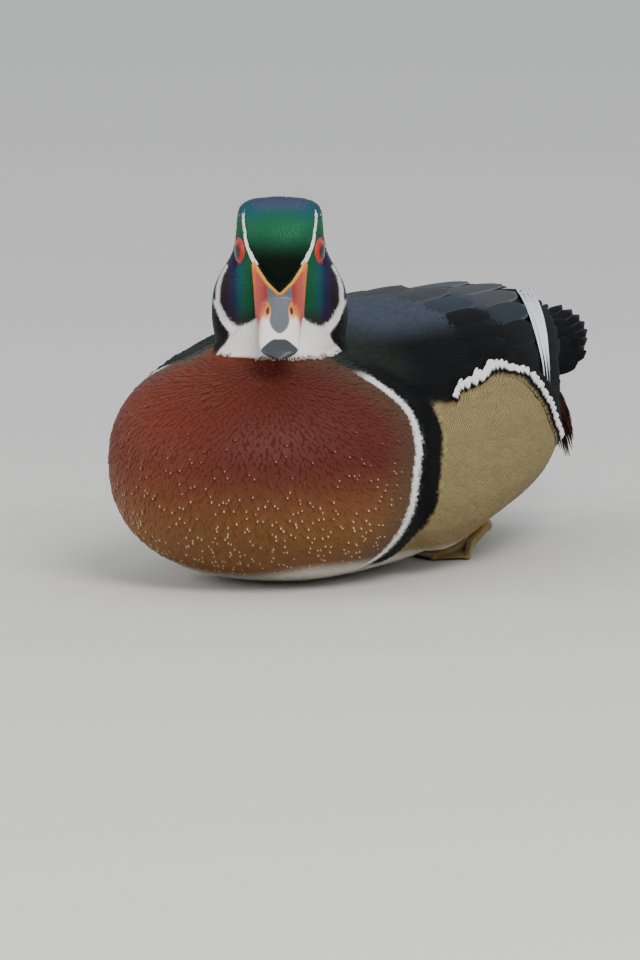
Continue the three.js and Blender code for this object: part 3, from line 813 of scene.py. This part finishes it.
# Breast and belly
for word, half in HALVES:
    roots, normals = scatter(body_faces & (behind_bar < 6) & half, 1.55)
    size = 1 + 0.25 * smooth(70, 20, roots[:, 2])
    front_low = smooth(92, 30, roots[:, 2]) * smooth(-4, -22, bar_line(roots))
    spot_chance = 0.02 + 0.17 * front_low**1.5
    has_spot = (rng.random(len(roots)) < spot_chance) & (bar_line(roots) < -6) & (roots[:, 2] > 6)
    detail = np.zeros((len(roots), 3))
    detail[:, 0] = has_spot * (0.14 + 0.24 * front_low * rng.uniform(0.6, 1.2, len(roots)))
    lie = body_lie(roots, normals)
    half_width = (1.1 + 0.7 * has_spot) * size
    lift = 0.24 + 0.3 * has_spot
    coat(
        f"breast_coat_{word}", roots, normals, lie, 6.4 * size, half_width, lift, body_colour, breast_down,
        detail, profile=SOFT, bulge=0.06,
    )

# Flanks and underparts
roots, normals = scatter(body_faces & (behind_bar >= 6), 2.3)
below_edge = roots[:, 2] - flank_upper_edge(roots[:, 1])
detail = np.zeros((len(roots), 3))
detail[:, 1] = smooth(8, 16, roots[:, 2]) * smooth(13, 16, bar_line(roots)) * smooth(152, 144, roots[:, 1])
detail[:, 1] *= smooth(-2, -5, below_edge)
raised = 0.8 + 1.4 * smooth(-9, -1, below_edge) * smooth(-8, 6, roots[:, 1])
coat("flank_coat", roots, normals, body_lie(roots, normals), 9, 2.3, raised, body_colour, down, detail)

# Back between and ahead of the wings
for word, half in HALVES:
    roots, normals = scatter(under_wing & ~head_faces & (face_z > 50) & half, 2.2)
    coat(f"back_coat_{word}", roots, normals, body_lie(roots, normals), 9, 2.2, 1.7, body_colour, velvet)

# Head
in_front = face_behind < 4
for part, half, spacing, lift in (("face", in_front, 0.75, 0.28), ("nape", ~in_front, 0.95, 0.7)):
    roots, normals = scatter(feathered_head & half, spacing)
    local = to_head(roots)
    from_eye = np.linalg.norm(np.abs(local) - EYE_CENTRE - [5, 0, 0], axis=-1)
    small = 0.8 + 0.4 * smooth(8, -20, -local[:, 1]) + 0.2 * smooth(-20, -38, local[:, 2])
    small *= (0.5 + 0.5 * smooth(5.5, 9, from_eye)) * (1 - 0.4 * smooth(-37, -42, local[:, 2]))
    lie = head_lie(roots, normals)
    length, half_width = 4.0 * spacing * small, 0.56 * spacing * small
    coat(f"{part}_coat", roots, normals, lie, length, half_width, lift, head_colour, fine, profile=SLIM)


def line_of_feathers(name, path, count, from_side=False):
    """Fine white feathers along a line of the face, given from the front or from the side."""
    path = np.array(path, float)
    stations = np.arange(len(path))
    share = np.sort(rng.random(count)) * (len(path) - 1) * 0.97
    at = np.array([np.interp(share, stations, path[:, i]) for i in range(3)]).T
    ahead = np.array([np.interp(share + 0.12, stations, path[:, i]) for i in range(3)]).T
    run = unit(ahead[:, :2] - at[:, :2])
    aside = np.stack([-run[:, 1], run[:, 0]], axis=-1) * (at[:, 2] * rng.uniform(-0.75, 0.75, count))[:, None]
    for word, sign in (("left", 1), ("right", -1)):
        roots, normals, headings = [], [], []
        for (a, b), (step_a, step_b) in zip(at[:, :2] + aside, run):
            if from_side:
                start, inward, heading = (sign * 60, -a, b), (-sign, 0, 0), (0, -step_a, step_b)
            else:
                start, inward, heading = (sign * a, -70, b), (0, 1, 0), (sign * step_a, 0, step_b)
            begin, aim = Vector(from_head(np.array(start))), Vector(TURN @ np.array(inward))
            spot, facing = skin_tree.ray_cast(begin, aim)[:2]
            if spot is not None:
                roots.append(spot[:])
                normals.append(facing[:])
                headings.append(TURN @ np.array(heading))
        roots, normals, headings = np.array(roots), np.array(normals), np.array(headings)
        lie = along_skin(headings, normals)
        coat(f"{name}_{word}", roots, normals, lie, 2.0, 0.3, 0.42, all_white, fine, profile=SLIM, sink=-0.25)


line_of_feathers("brow", BROW, 260)
line_of_feathers("side_line", SIDE_LINE, 420, from_side=True)
line_of_feathers("crescent", CRESCENT, 800)


# Long feathers, laid on surfaces of their own
# Each outline gives places from root to tip, and the share of the half width at each
FLIGHT_OUTLINE = ((0, 0.12, 0.45, 0.8, 0.93, 1), (0.25, 0.6, 0.92, 1, 0.72, 0.08))
LOBE_OUTLINE = ((0, 0.12, 0.4, 0.7, 0.88, 0.96, 1), (0.3, 0.7, 0.95, 1, 0.85, 0.52, 0.1))
TAIL_OUTLINE = ((0, 0.12, 0.45, 0.8, 0.93, 0.98, 1), (0.3, 0.6, 0.9, 1, 0.85, 0.5, 0.1))
WEB_OUTLINE = ((0, 0.1, 0.35, 0.75, 1), (0.1, 0.7, 1, 0.9, 0.15))
LOCK_OUTLINE = ((0, 0.2, 0.6, 1), (0.6, 1, 0.75, 0.1))
PLUME_OUTLINE = ((0, 0.2, 0.6, 1), (0.6, 1, 0.7, 0.08))
VANE_CROWN = 0.9


def vane(root, tip, spread, rise, paint, outline=FLIGHT_OUTLINE, tilt=0.0, rim=0.0):
    """One long feather: root and tip on the surface, half spread, rise at both ends, colour and outline."""
    return {
        "root": root, "tip": tip, "spread": spread, "rise": rise,
        "paint": paint, "outline": outline, "tilt": tilt, "rim": rim,
    }


def vanes(name, surface, lies, material, rows, columns):
    """Wing, tail and crest feathers as one mesh, each crowned across and laid along its surface."""
    t = np.linspace(0, 1, rows)[:, None]
    s = np.linspace(-1, 1, columns)
    blocks, places, paints, details, stations = [], [], [], [], []
    for lie in lies:
        (lean_from, run_from), (lean_to, run_to), (low, high) = lie["root"], lie["tip"], lie["rise"]
        shape = np.interp(t, *lie["outline"])
        lean = lean_from + (lean_to - lean_from) * t + lie["spread"] * shape * s
        run = run_from + (run_to - run_from) * t
        rise = low + (high - low) * t + VANE_CROWN * (1 - s**2) * shape + lie["tilt"] * s
        corners = surface(lean, run, rise)
        blocks.append(corners)
        places.append(points(s * 0.5 + 0.5, t, rng.random()))
        paints.append(np.broadcast_to(lie["paint"](points(s, t)), corners.shape))
        details.append(np.broadcast_to((0, 0, lie["rim"]), corners.shape))
        stations.append(np.broadcast_to(corners[0, columns // 2], corners.shape))
    starts = np.arange(len(lies)) * rows * columns
    faces = (grid_faces(rows, columns) + starts[:, None, None]).reshape(-1, 4)
    corners = np.array(blocks).reshape(-1, 3)
    corners[:, 2] = np.maximum(corners[:, 2], VANE_FLOOR)
    mesh = new_mesh(name, corners, faces)
    place = np.array(places).reshape(-1, 3)
    set_paint(mesh, "place", place)
    set_paint(mesh, "paint", np.array(paints).reshape(-1, 3))
    set_paint(mesh, "detail", np.array(details).reshape(-1, 3))
    set_bake_map(mesh, np.array(stations).reshape(-1, 3), place[:, :2] - 0.5)
    piece = place_mesh(name, mesh, material)
    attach(piece, "root")
    return piece


def one_colour(colour):
    return lambda place: np.broadcast_to(colour, (*place.shape[:-1], 3))


def edged(colour, edge, width):
    """A feather with another colour along its edges and tip."""

    def paint(place):
        beside = smooth(1 - width, 1 - width * 0.4, np.abs(place[..., 0]))
        share = np.maximum(beside, smooth(0.93, 0.98, place[..., 1]))
        return blend(np.broadcast_to(colour, (*share.shape, 3)), edge, share)

    return paint


# Broad feathers over the closed wing: root and tip as angle and place, half spread, colour, edge shade
# The slate-blue on two of the higher lobes is painted sheen, where the feathers' gloss catches the light
LOBES = [
    ((41, 22), (40, 78), 7.5, VELVET, 0.0),
    ((51, 26), (49, 84), 8, VELVET, 0.0),
    ((61, 32), (58, 90), 8, VELVET * 1.3, 0.03),
    ((72, 36), (69, 96), 8.5, SLATE_SHEEN * 0.5, 0.08),
    ((84, 40), (83, 102), 8, ASH * 0.5, 0.1),
    ((20, 50), (16, 110), 8.5, VELVET, 0.0),
    ((32, 56), (28, 120), 9, VELVET, 0.0),
    ((45, 60), (41, 130), 9.5, VELVET, 0.06),
    ((58, 66), (54, 141), 9.5, SLATE_SHEEN * 0.4, 0.15),
    ((70, 72), (67, 150), 9, ASH * 0.7, 0.2),
    ((83, 78), (81, 158), 8.5, ASH * 0.8, 0.2),
]
# Flight feathers from the top of the closed wing down: angle, root and tip
FLIGHT = [
    (22, 98, 170), (30, 100, 176), (38, 100, 181), (47, 100, 183),
    (56, 100, 182), (65, 100, 178), (74, 102, 173), (83, 106, 168),
]
# Pale outer webs of the flight feathers, running down across the wing's end: root, tip and half width
PALE_WEBS = [
    ((75, 167), (13, 100), 4.0),
    ((74, 171), (12, 105), 4.2),
    ((73, 175), (13, 110), 3.8),
    ((71, 179), (18, 115), 3.2),
]


def streaked(colour, streak):
    """A pale web with a darker line beside its shaft and along one edge."""

    def paint(place):
        side = place[..., 0]
        share = np.maximum(smooth(0.1, 0.04, np.abs(side - 0.15)), smooth(0.88, 0.98, side)) * 0.8
        return blend(np.broadcast_to(colour, (*share.shape, 3)), streak, share)

    return paint


def wing_lies():
    lies = []
    for (root_angle, root), (tip_angle, tip), spread, colour, rim in LOBES:
        ends = (radians(root_angle), root), (radians(tip_angle), tip)
        lies.append(vane(*ends, radians(spread), (-3.2, 0.7), one_colour(colour), LOBE_OUTLINE, -0.5, rim))
    for angle, root, tip in FLIGHT:
        ends = (radians(angle + 3), root), (radians(angle), tip)
        lies.append(vane(*ends, radians(6.2), (-4.0, -0.4), edged(COAL, FLIGHT_EDGE, 0.2), tilt=-0.4))
    return lies


def web_lies():
    lies = []
    for order, ((root_angle, root), (tip_angle, tip), half) in enumerate(PALE_WEBS):
        ends = (root, radians(root_angle)), (tip, radians(tip_angle))
        rise = (0.2 + 0.4 * order, 1.4 + 0.4 * order)
        lies.append(vane(*ends, half, rise, streaked(WEB_WHITE, WEB_LINE), WEB_OUTLINE, -0.3))
    return lies


def across_mantle(place, angle, grow=0.0):
    """The mantle with its two directions changed round, for feathers that run down over it."""
    return mantle_at(angle, place, grow)


def on_side(surface, sign):
    return lambda *where: surface(*where) * np.array([sign, 1.0, 1.0])


for word, sign in (("left", 1), ("right", -1)):
    wing = vanes(f"wing_coat_{word}", on_side(mantle_at, sign), wing_lies(), glossy, rows=14, columns=9)
    webs = vanes(f"wing_webs_{word}", on_side(across_mantle, sign), web_lies(), glossy, rows=22, columns=9)
    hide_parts(f"wing_{word}")


# The flank's upper edge: white feathers tipped and backed with black, from the bar to the rump
EDGE_FEATHERS = 60
EDGE_START, EDGE_END, EDGE_DROP, EDGE_RISE = 6, 108, 5.5, 4.0
EDGE_LENGTH, EDGE_HALF_WIDTH = 10.0, 1.7


def white_tipped(corners):
    dark = np.broadcast_to(np.array([0, 0.6, 1, 1, 0, 0, 0])[None, :, None], corners.shape[:-1])
    pale = np.broadcast_to(np.array([0, 0, 0, 0, 1, 1, 1])[None, :, None], corners.shape[:-1])
    return blend(blend(np.broadcast_to(BUFF, corners.shape), BLACK, dark), WHITE, pale)


def flank_edge():
    """Short feathers along the flank's upper edge, leaning up and back over the wing."""
    along = np.linspace(EDGE_START, EDGE_END, EDGE_FEATHERS) + rng.normal(0, 0.5, EDGE_FEATHERS)
    height = flank_upper_edge(along) - EDGE_DROP
    hits = [skin_tree.ray_cast(Vector((120, y, z)), Vector((-1, 0, 0))) for y, z in zip(along, height)]
    roots, normals = (np.array([hit[i][:] for hit in hits]) for i in (0, 1))
    slope = np.gradient(height, along)
    tangent = unit(points(0, 1, slope))
    outward = unit(points(0, -slope, 1))
    heading = tangent * 0.65 + outward * 0.75 + rng.normal(0, 0.06, (EDGE_FEATHERS, 3))
    length = EDGE_LENGTH * (0.55 + 0.45 * smooth(4, 26, along)) * (1 - 0.35 * smooth(70, 104, along))
    length = length * rng.uniform(0.85, 1.12, EDGE_FEATHERS)
    heading = along_skin(heading, normals)
    for word, sign in (("left", 1), ("right", -1)):
        flip = np.array([sign, 1.0, 1.0])
        piece = coat(
            f"edge_white_{word}", roots * flip, normals * flip, heading * flip,
            length, EDGE_HALF_WIDTH, EDGE_RISE, white_tipped, velvet,
            profile=SQUARE, sink=-1.2, bulge=0.08,
        )


flank_edge()

# Tail
TAIL_FEATHERS = [
    (7, 224), (17, 224), (26, 224), (35, 223), (44, 221), (53, 218), (62, 214), (71, 209), (80, 203),
]
TAIL_COVERTS = [(158, 194, 11), (164, 204, 12), (170, 212, 11)]


def tail_colour():
    return one_colour(VELVET * (0.8 + 0.5 * rng.random()))


def tail_lies():
    lies = []
    for order, (lean, end) in enumerate(TAIL_FEATHERS):
        spread, rise = radians(7.4 if order == 0 else 9.5), (-5 - 1.0 * order, 0.2 - 0.9 * order)
        for sign in (1, -1):
            ends = (sign * radians(lean * 0.9), 168), (sign * radians(lean), end)
            lies.append(vane(*ends, spread, rise, tail_colour(), TAIL_OUTLINE, rim=0.08))
    for row, (start, end, count) in enumerate(TAIL_COVERTS):
        for number in range(count):
            lean = -76 + 152 * (number + 0.5 * (row % 2)) / count + 6
            ends = (radians(lean), start), (radians(lean), end - abs(lean) * 0.1)
            lies.append(vane(*ends, radians(8.5), (-4.5, 2.2 - 0.6 * row), tail_colour()))
    return lies


tail = vanes("tail_coat", tail_at, tail_lies(), velvet, rows=14, columns=7)
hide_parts("tail")

# Crest: long fine locks from the crown down over the nape
# Each tier gives its range of angles round the head, the heights of root and tip, and a count
CREST_TIERS = [
    (128, 232, 19, -2, 52),
    (112, 248, 12, -12, 60),
    (104, 256, 2, -22, 72),
    (98, 262, -5, -32, 80),
    (94, 266, -13, -41, 84),
    (94, 266, -22, -45, 76),
]


def crest_lies():
    lies = []
    for low, high, start, end, count in CREST_TIERS:
        deep = smooth(8, -8, (start + end) / 2)
        for number in range(count):
            angle = radians(low + (high - low) * (number + rng.random() * 0.7) / count)
            sheen = blend(VIOLET * 0.5, GREEN * 0.45, rng.random())
            root = (angle, start + rng.normal(0, 1))
            tip = (angle + rng.normal(0, 0.03), end + rng.normal(0, 1.5))
            rise = (-2.8, -1.2 + rng.normal(0, 0.2))
            colour = one_colour(blend(sheen, BLACK, deep))
            lies.append(vane(root, tip, radians(5.5), rise, colour, LOCK_OUTLINE))
    return lies


crest = vanes("crest_coat", crest_at, crest_lies(), fine, rows=9, columns=3)
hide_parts("crest")


# Plumes behind the flanks
PLUME_COUNT = 150
PLUME_COLOURS = [PLUM * 0.6, PLUM, BLACK, BLACK, BLACK, PLUME_BROWN, PLUM * 0.5, BLACK]
PLUME_ROOT, PLUME_END = np.array([37.0, 148.0, 63.0]), np.array([28.0, 178.0, 40.0])


def plume_lies():
    lies = []
    for number in range(PLUME_COUNT):
        angle = radians(-90 + 220 * rng.random())
        tip = (angle + rng.normal(0, 0.1), 0.6 + 0.7 * rng.random())
        rise = (-4, 0.4 + 1.2 * rng.random())
        colour = PLUME_COLOURS[number % len(PLUME_COLOURS)]
        lies.append(vane((angle, 0.02), tip, radians(6), rise, one_colour(colour), PLUME_OUTLINE))
    return lies


def plume_surface(angle, along, grow):
    """A bunch that narrows and hangs from its root to its end."""
    radius = 8.5 - 3.5 * along + grow
    along = along[..., None]
    centre = PLUME_ROOT + (PLUME_END - PLUME_ROOT) * along + np.array([0, 4.0, 0]) * along * (1 - along)
    return centre + points(np.cos(angle) * radius, 0, np.sin(angle) * radius * 1.2)


for word, sign in (("left", 1), ("right", -1)):
    plume = vanes(f"plume_coat_{word}", on_side(plume_surface, sign), plume_lies(), down, rows=8, columns=3)
    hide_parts(f"plumes_{word}")

# Skin mesh, painted like the coat over it
skin_mesh = new_mesh("skin", socketed(skin_corners), skin_faces)
set_paint(skin_mesh, "paint", coat_colour(skin_corners))
set_bake_map(skin_mesh, skin_corners)
skin_shader = Shader("skin", roughness=0.8)
skin_shader.set("Specular IOR Level", 0.08)
# Painted shade: the skin a little darker than the coat, where it shows between the feathers
skin_shader.set("Base Color", skin_shader.scaled(skin_shader.paint("paint"), 0.9))
skin = place_mesh("skin", skin_mesh, skin_shader.material)
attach(skin, "root")
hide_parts(*FLESH)

# Bill: the solids of both halves, evened out, with the face's bare lobes
# The grey shield down the ridge: its half width along the bill
shield_half_width = through(
    (16.5, 1.5), (17.6, 4.2), (20.5, 5.3), (23.5, 4.6), (26.5, 3.8),
    (31.5, 4.3), (35.5, 3.4), (38, 1.8), (39.5, 0),
)
NOSTRIL_SIDE, NOSTRIL_AHEAD, NOSTRIL_HALF_HEIGHT, NOSTRIL_HALF_LENGTH = 5.1, 26.5, 0.75, 2.1
NAIL_START = 42.3
BILL_GRAIN, LEG_GRAIN = 0.4, 0.5


def bill_colour(place):
    local = to_head(place)
    along_bill = local @ PITCH
    across, ahead = np.abs(along_bill[:, 0]), -along_bill[:, 1]
    side, up = np.abs(local[:, 0]), local[:, 2]
    colour = np.broadcast_to(BILL_RED, place.shape)
    # Painted highlight: pink laid over the red along the bill's sides
    colour = blend(colour, BILL_PINK_HIGHLIGHT, smooth(4.5, 10, across) * smooth(10, 22, ahead) * 0.4)
    colour = blend(colour, BILL_ORANGE, smooth(21, 26, ahead) * 0.8)
    colour = blend(colour, BILL_CREAM, smooth(26, 30.5, ahead))
    flush = smooth(7.6, 9.4, across) * smooth(44, 26, ahead) * smooth(20, 26, ahead)
    colour = blend(colour, BILL_ROSE, flush * 0.7)
    on_shield = smooth(0.4, -0.4, across - shield_half_width(ahead))
    on_shield = on_shield * smooth(40, 38.5, ahead) * smooth(16, 17, ahead)
    colour = blend(colour, SHIELD_GREY, on_shield)
    from_nostril = np.hypot(
        (across - NOSTRIL_SIDE) / NOSTRIL_HALF_HEIGHT, (ahead - NOSTRIL_AHEAD) / NOSTRIL_HALF_LENGTH,
    )
    colour = blend(colour, BILL_YELLOW, smooth(2.6, 1.3, from_nostril) * (1 - on_shield) * 0.8)
    colour = blend(colour, NOSTRIL_BROWN, smooth(1.1, 0.8, from_nostril))
    nail = NAIL_START + 3.6 * smooth(2, 8, across)
    colour = blend(colour, NAIL_GREY, smooth(-0.4, 0.4, ahead - nail))
    rim = smooth(1.6, 1.0, np.abs(side - forehead_edge(up) - 0.3)) * smooth(-17.5, -15.8, up)
    colour = blend(colour, BILL_YELLOW, rim)
    colour = blend(colour, BILL_YELLOW, smooth(-8, -4, up) * smooth(8, 9, side))
    gape = smooth(9.7, 10.4, side) * smooth(-26, -16, up) * smooth(-3, -6, up)
    return blend(colour, GAPE_ORANGE, gape * 0.8)


horn = Shader("bill", roughness=0.38)
horn.set("Base Color", horn.paint("paint"))
horn.bump(horn.noise(horn.position(), 700.0), 0.1, 0.0003)
for node in ("bill_upper", "bill_lower"):
    corners, faces = evened_node(node, BILL_GRAIN, 6)
    mesh = new_mesh(f"{node}_horn", corners, faces)
    # Painted shade: the lower half carries the same pattern at 0.55 brightness, darker under the upper half
    set_paint(mesh, "paint", bill_colour(corners) * (1.0 if node == "bill_upper" else 0.55))
    piece = place_mesh(f"{node}_horn", mesh, horn.material)
    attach(piece, "root")
    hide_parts(node)

# Eyes and lids
eye_shader = Shader("eye", roughness=0.07)
eye_shader.set("Specular IOR Level", 0.2)
from_middle = eye_shader.parts(eye_shader.paint("place", "Vector"))[0]
iris = eye_shader.mix(from_middle.between(0.6, 0.95), IRIS_INNER, IRIS_OUTER)
eye_shader.set("Base Color", eye_shader.mix(from_middle.between(0.58, 0.54), iris, PUPIL))
eye_shader.set("Coat Weight", 0.12)
lid_material = plain_material("eyelid", LID_RED, 0.5, 0.3, 1400.0)
EYE_STEPS, EYE_SPOKES, LID_STEPS = 40, 48, 13
EYE_FACE, EYE_DOME, EYE_BACK = 4.55, 1.5, 7
LID_FACE, LID_GAP, LID_THICKNESS, LID_HEIGHT = 4.75, 0.15, 0.48, 0.6
TALLER = 1.04

for word, sign in (("left", 1), ("right", -1)):
    out, up = EYE_OUT * [sign, 1, 1], np.array([0.0, 0.0, 1.0])
    forward = np.cross(up, out)
    spokes = np.linspace(0, 2 * np.pi, EYE_SPOKES, endpoint=False)
    polar, turn = np.meshgrid(np.linspace(0, np.pi, EYE_STEPS), spokes, indexing="ij")
    from_axis = np.sin(polar) * (EYE_OPENING + 0.2)
    depth = EYE_FACE + np.where(polar < np.pi / 2, EYE_DOME, EYE_BACK) * np.cos(polar)
    ball = (
        out * depth[..., None]
        + forward * (from_axis * np.cos(turn))[..., None]
        + up * (from_axis * np.sin(turn) * TALLER)[..., None]
    )
    corners = from_head(EYE_CENTRE * [sign, 1, 1] + ball.reshape(-1, 3))
    mesh = new_mesh(f"eyeball_{word}", corners, grid_faces(EYE_STEPS, EYE_SPOKES, closed=True))
    set_paint(mesh, "place", points(np.where(polar < np.pi / 2, np.sin(polar), 1.0).ravel(), 0, 0))
    eye = place_mesh(f"eyeball_{word}", mesh, eye_shader.material)
    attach(eye, "root")
    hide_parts(f"eye_{word}")
    around, tube = np.meshgrid(spokes, np.linspace(0, 2 * np.pi, LID_STEPS), indexing="ij")
    radius = EYE_OPENING + LID_GAP + LID_THICKNESS * np.cos(tube)
    ring = (
        forward * (radius * np.cos(around) * (1.0 - 0.06 * np.abs(np.sin(around))))[..., None]
        + up * (radius * np.sin(around) * TALLER)[..., None]
        + out * (LID_FACE + LID_HEIGHT * np.sin(tube) - 0.27 * np.cos(around) ** 2)[..., None]
    )
    corners = from_head(EYE_CENTRE * [sign, 1, 1] + ring.reshape(-1, 3))
    seam = grid_faces(2, LID_STEPS)
    last_ring = (EYE_SPOKES - 1) * LID_STEPS
    seam = seam % LID_STEPS + np.where(seam < LID_STEPS, last_ring, 0)
    mesh = new_mesh(f"lid_{word}", corners, np.concatenate([grid_faces(EYE_SPOKES, LID_STEPS), seam]))
    lid = place_mesh(f"lid_{word}", mesh, lid_material)
    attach(lid, "root")
    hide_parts(f"eyelid_{word}")

# Legs
leg_material = plain_material("leg", LEG_YELLOW, 0.55, 0.6)
for word in ("left", "right"):
    corners, faces = evened_node(f"leg_{word}", LEG_GRAIN, 5)
    leg = place_mesh(f"foot_{word}", new_mesh(f"foot_{word}", corners, faces), leg_material)
    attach(leg, "root")
    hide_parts(f"leg_{word}")

# Floor, light and camera
FLOOR_REACH = 4000
square = np.array([[-1, -1, 0], [1, -1, 0], [1, 1, 0], [-1, 1, 0]]) * FLOOR_REACH
floor = place_mesh(
    "floor", new_mesh("floor", square, np.array([[0, 1, 2, 3]])), plain_material("floor", FLOOR_GREY, 0.9),
)

world = bpy.data.worlds.new("world")
bpy.context.scene.world = world
world.use_nodes = True
world.node_tree.nodes["Background"].inputs["Color"].default_value = (0.82, 0.86, 0.9, 1)
world.node_tree.nodes["Background"].inputs["Strength"].default_value = 0.9


def add_light(name, place, target, size, power):
    """A square of soft light, placed in metres."""
    light = bpy.data.lights.new(name, "AREA")
    light.size, light.energy = size, power
    lamp = bpy.data.objects.new(name, light)
    bpy.context.scene.collection.objects.link(lamp)
    lamp.location = place
    lamp.rotation_euler = (Vector(target) - Vector(place)).to_track_quat("-Z", "Y").to_euler()


add_light("key", (1.6, -1.4, 1.9), (0, 0, 0.06), 1.2, 60)
add_light("fill", (-1.9, -1.6, 1.1), (0, 0, 0.06), 1.6, 22)

# The camera looks from the front left and a little above, placed in metres
VIEW_TURN, VIEW_RISE, DISTANCE = radians(29), radians(7.5), 6.0
SENSOR, FRAME_HEIGHT, PIXEL = 36, 960, 0.43
level = cos(VIEW_RISE)
back = Vector((sin(VIEW_TURN) * level, -cos(VIEW_TURN) * level, sin(VIEW_RISE)))
right = Vector((cos(VIEW_TURN), sin(VIEW_TURN), 0))
upward = back.cross(right)
target = Vector((0, -0.030, 0.038)) + right * 0.0189 + upward * 0.0043
camera_data = bpy.data.cameras.new("camera")
camera_data.sensor_fit, camera_data.sensor_height = "VERTICAL", SENSOR
camera_data.lens = SENSOR * DISTANCE / (FRAME_HEIGHT * PIXEL * MM)
camera_data.clip_end = 50
camera = bpy.data.objects.new("camera", camera_data)
bpy.context.scene.collection.objects.link(camera)
facing = Matrix((right, upward, back)).transposed().to_4x4()
camera.matrix_world = Matrix.Translation(target + back * DISTANCE) @ facing
bpy.context.scene.camera = camera
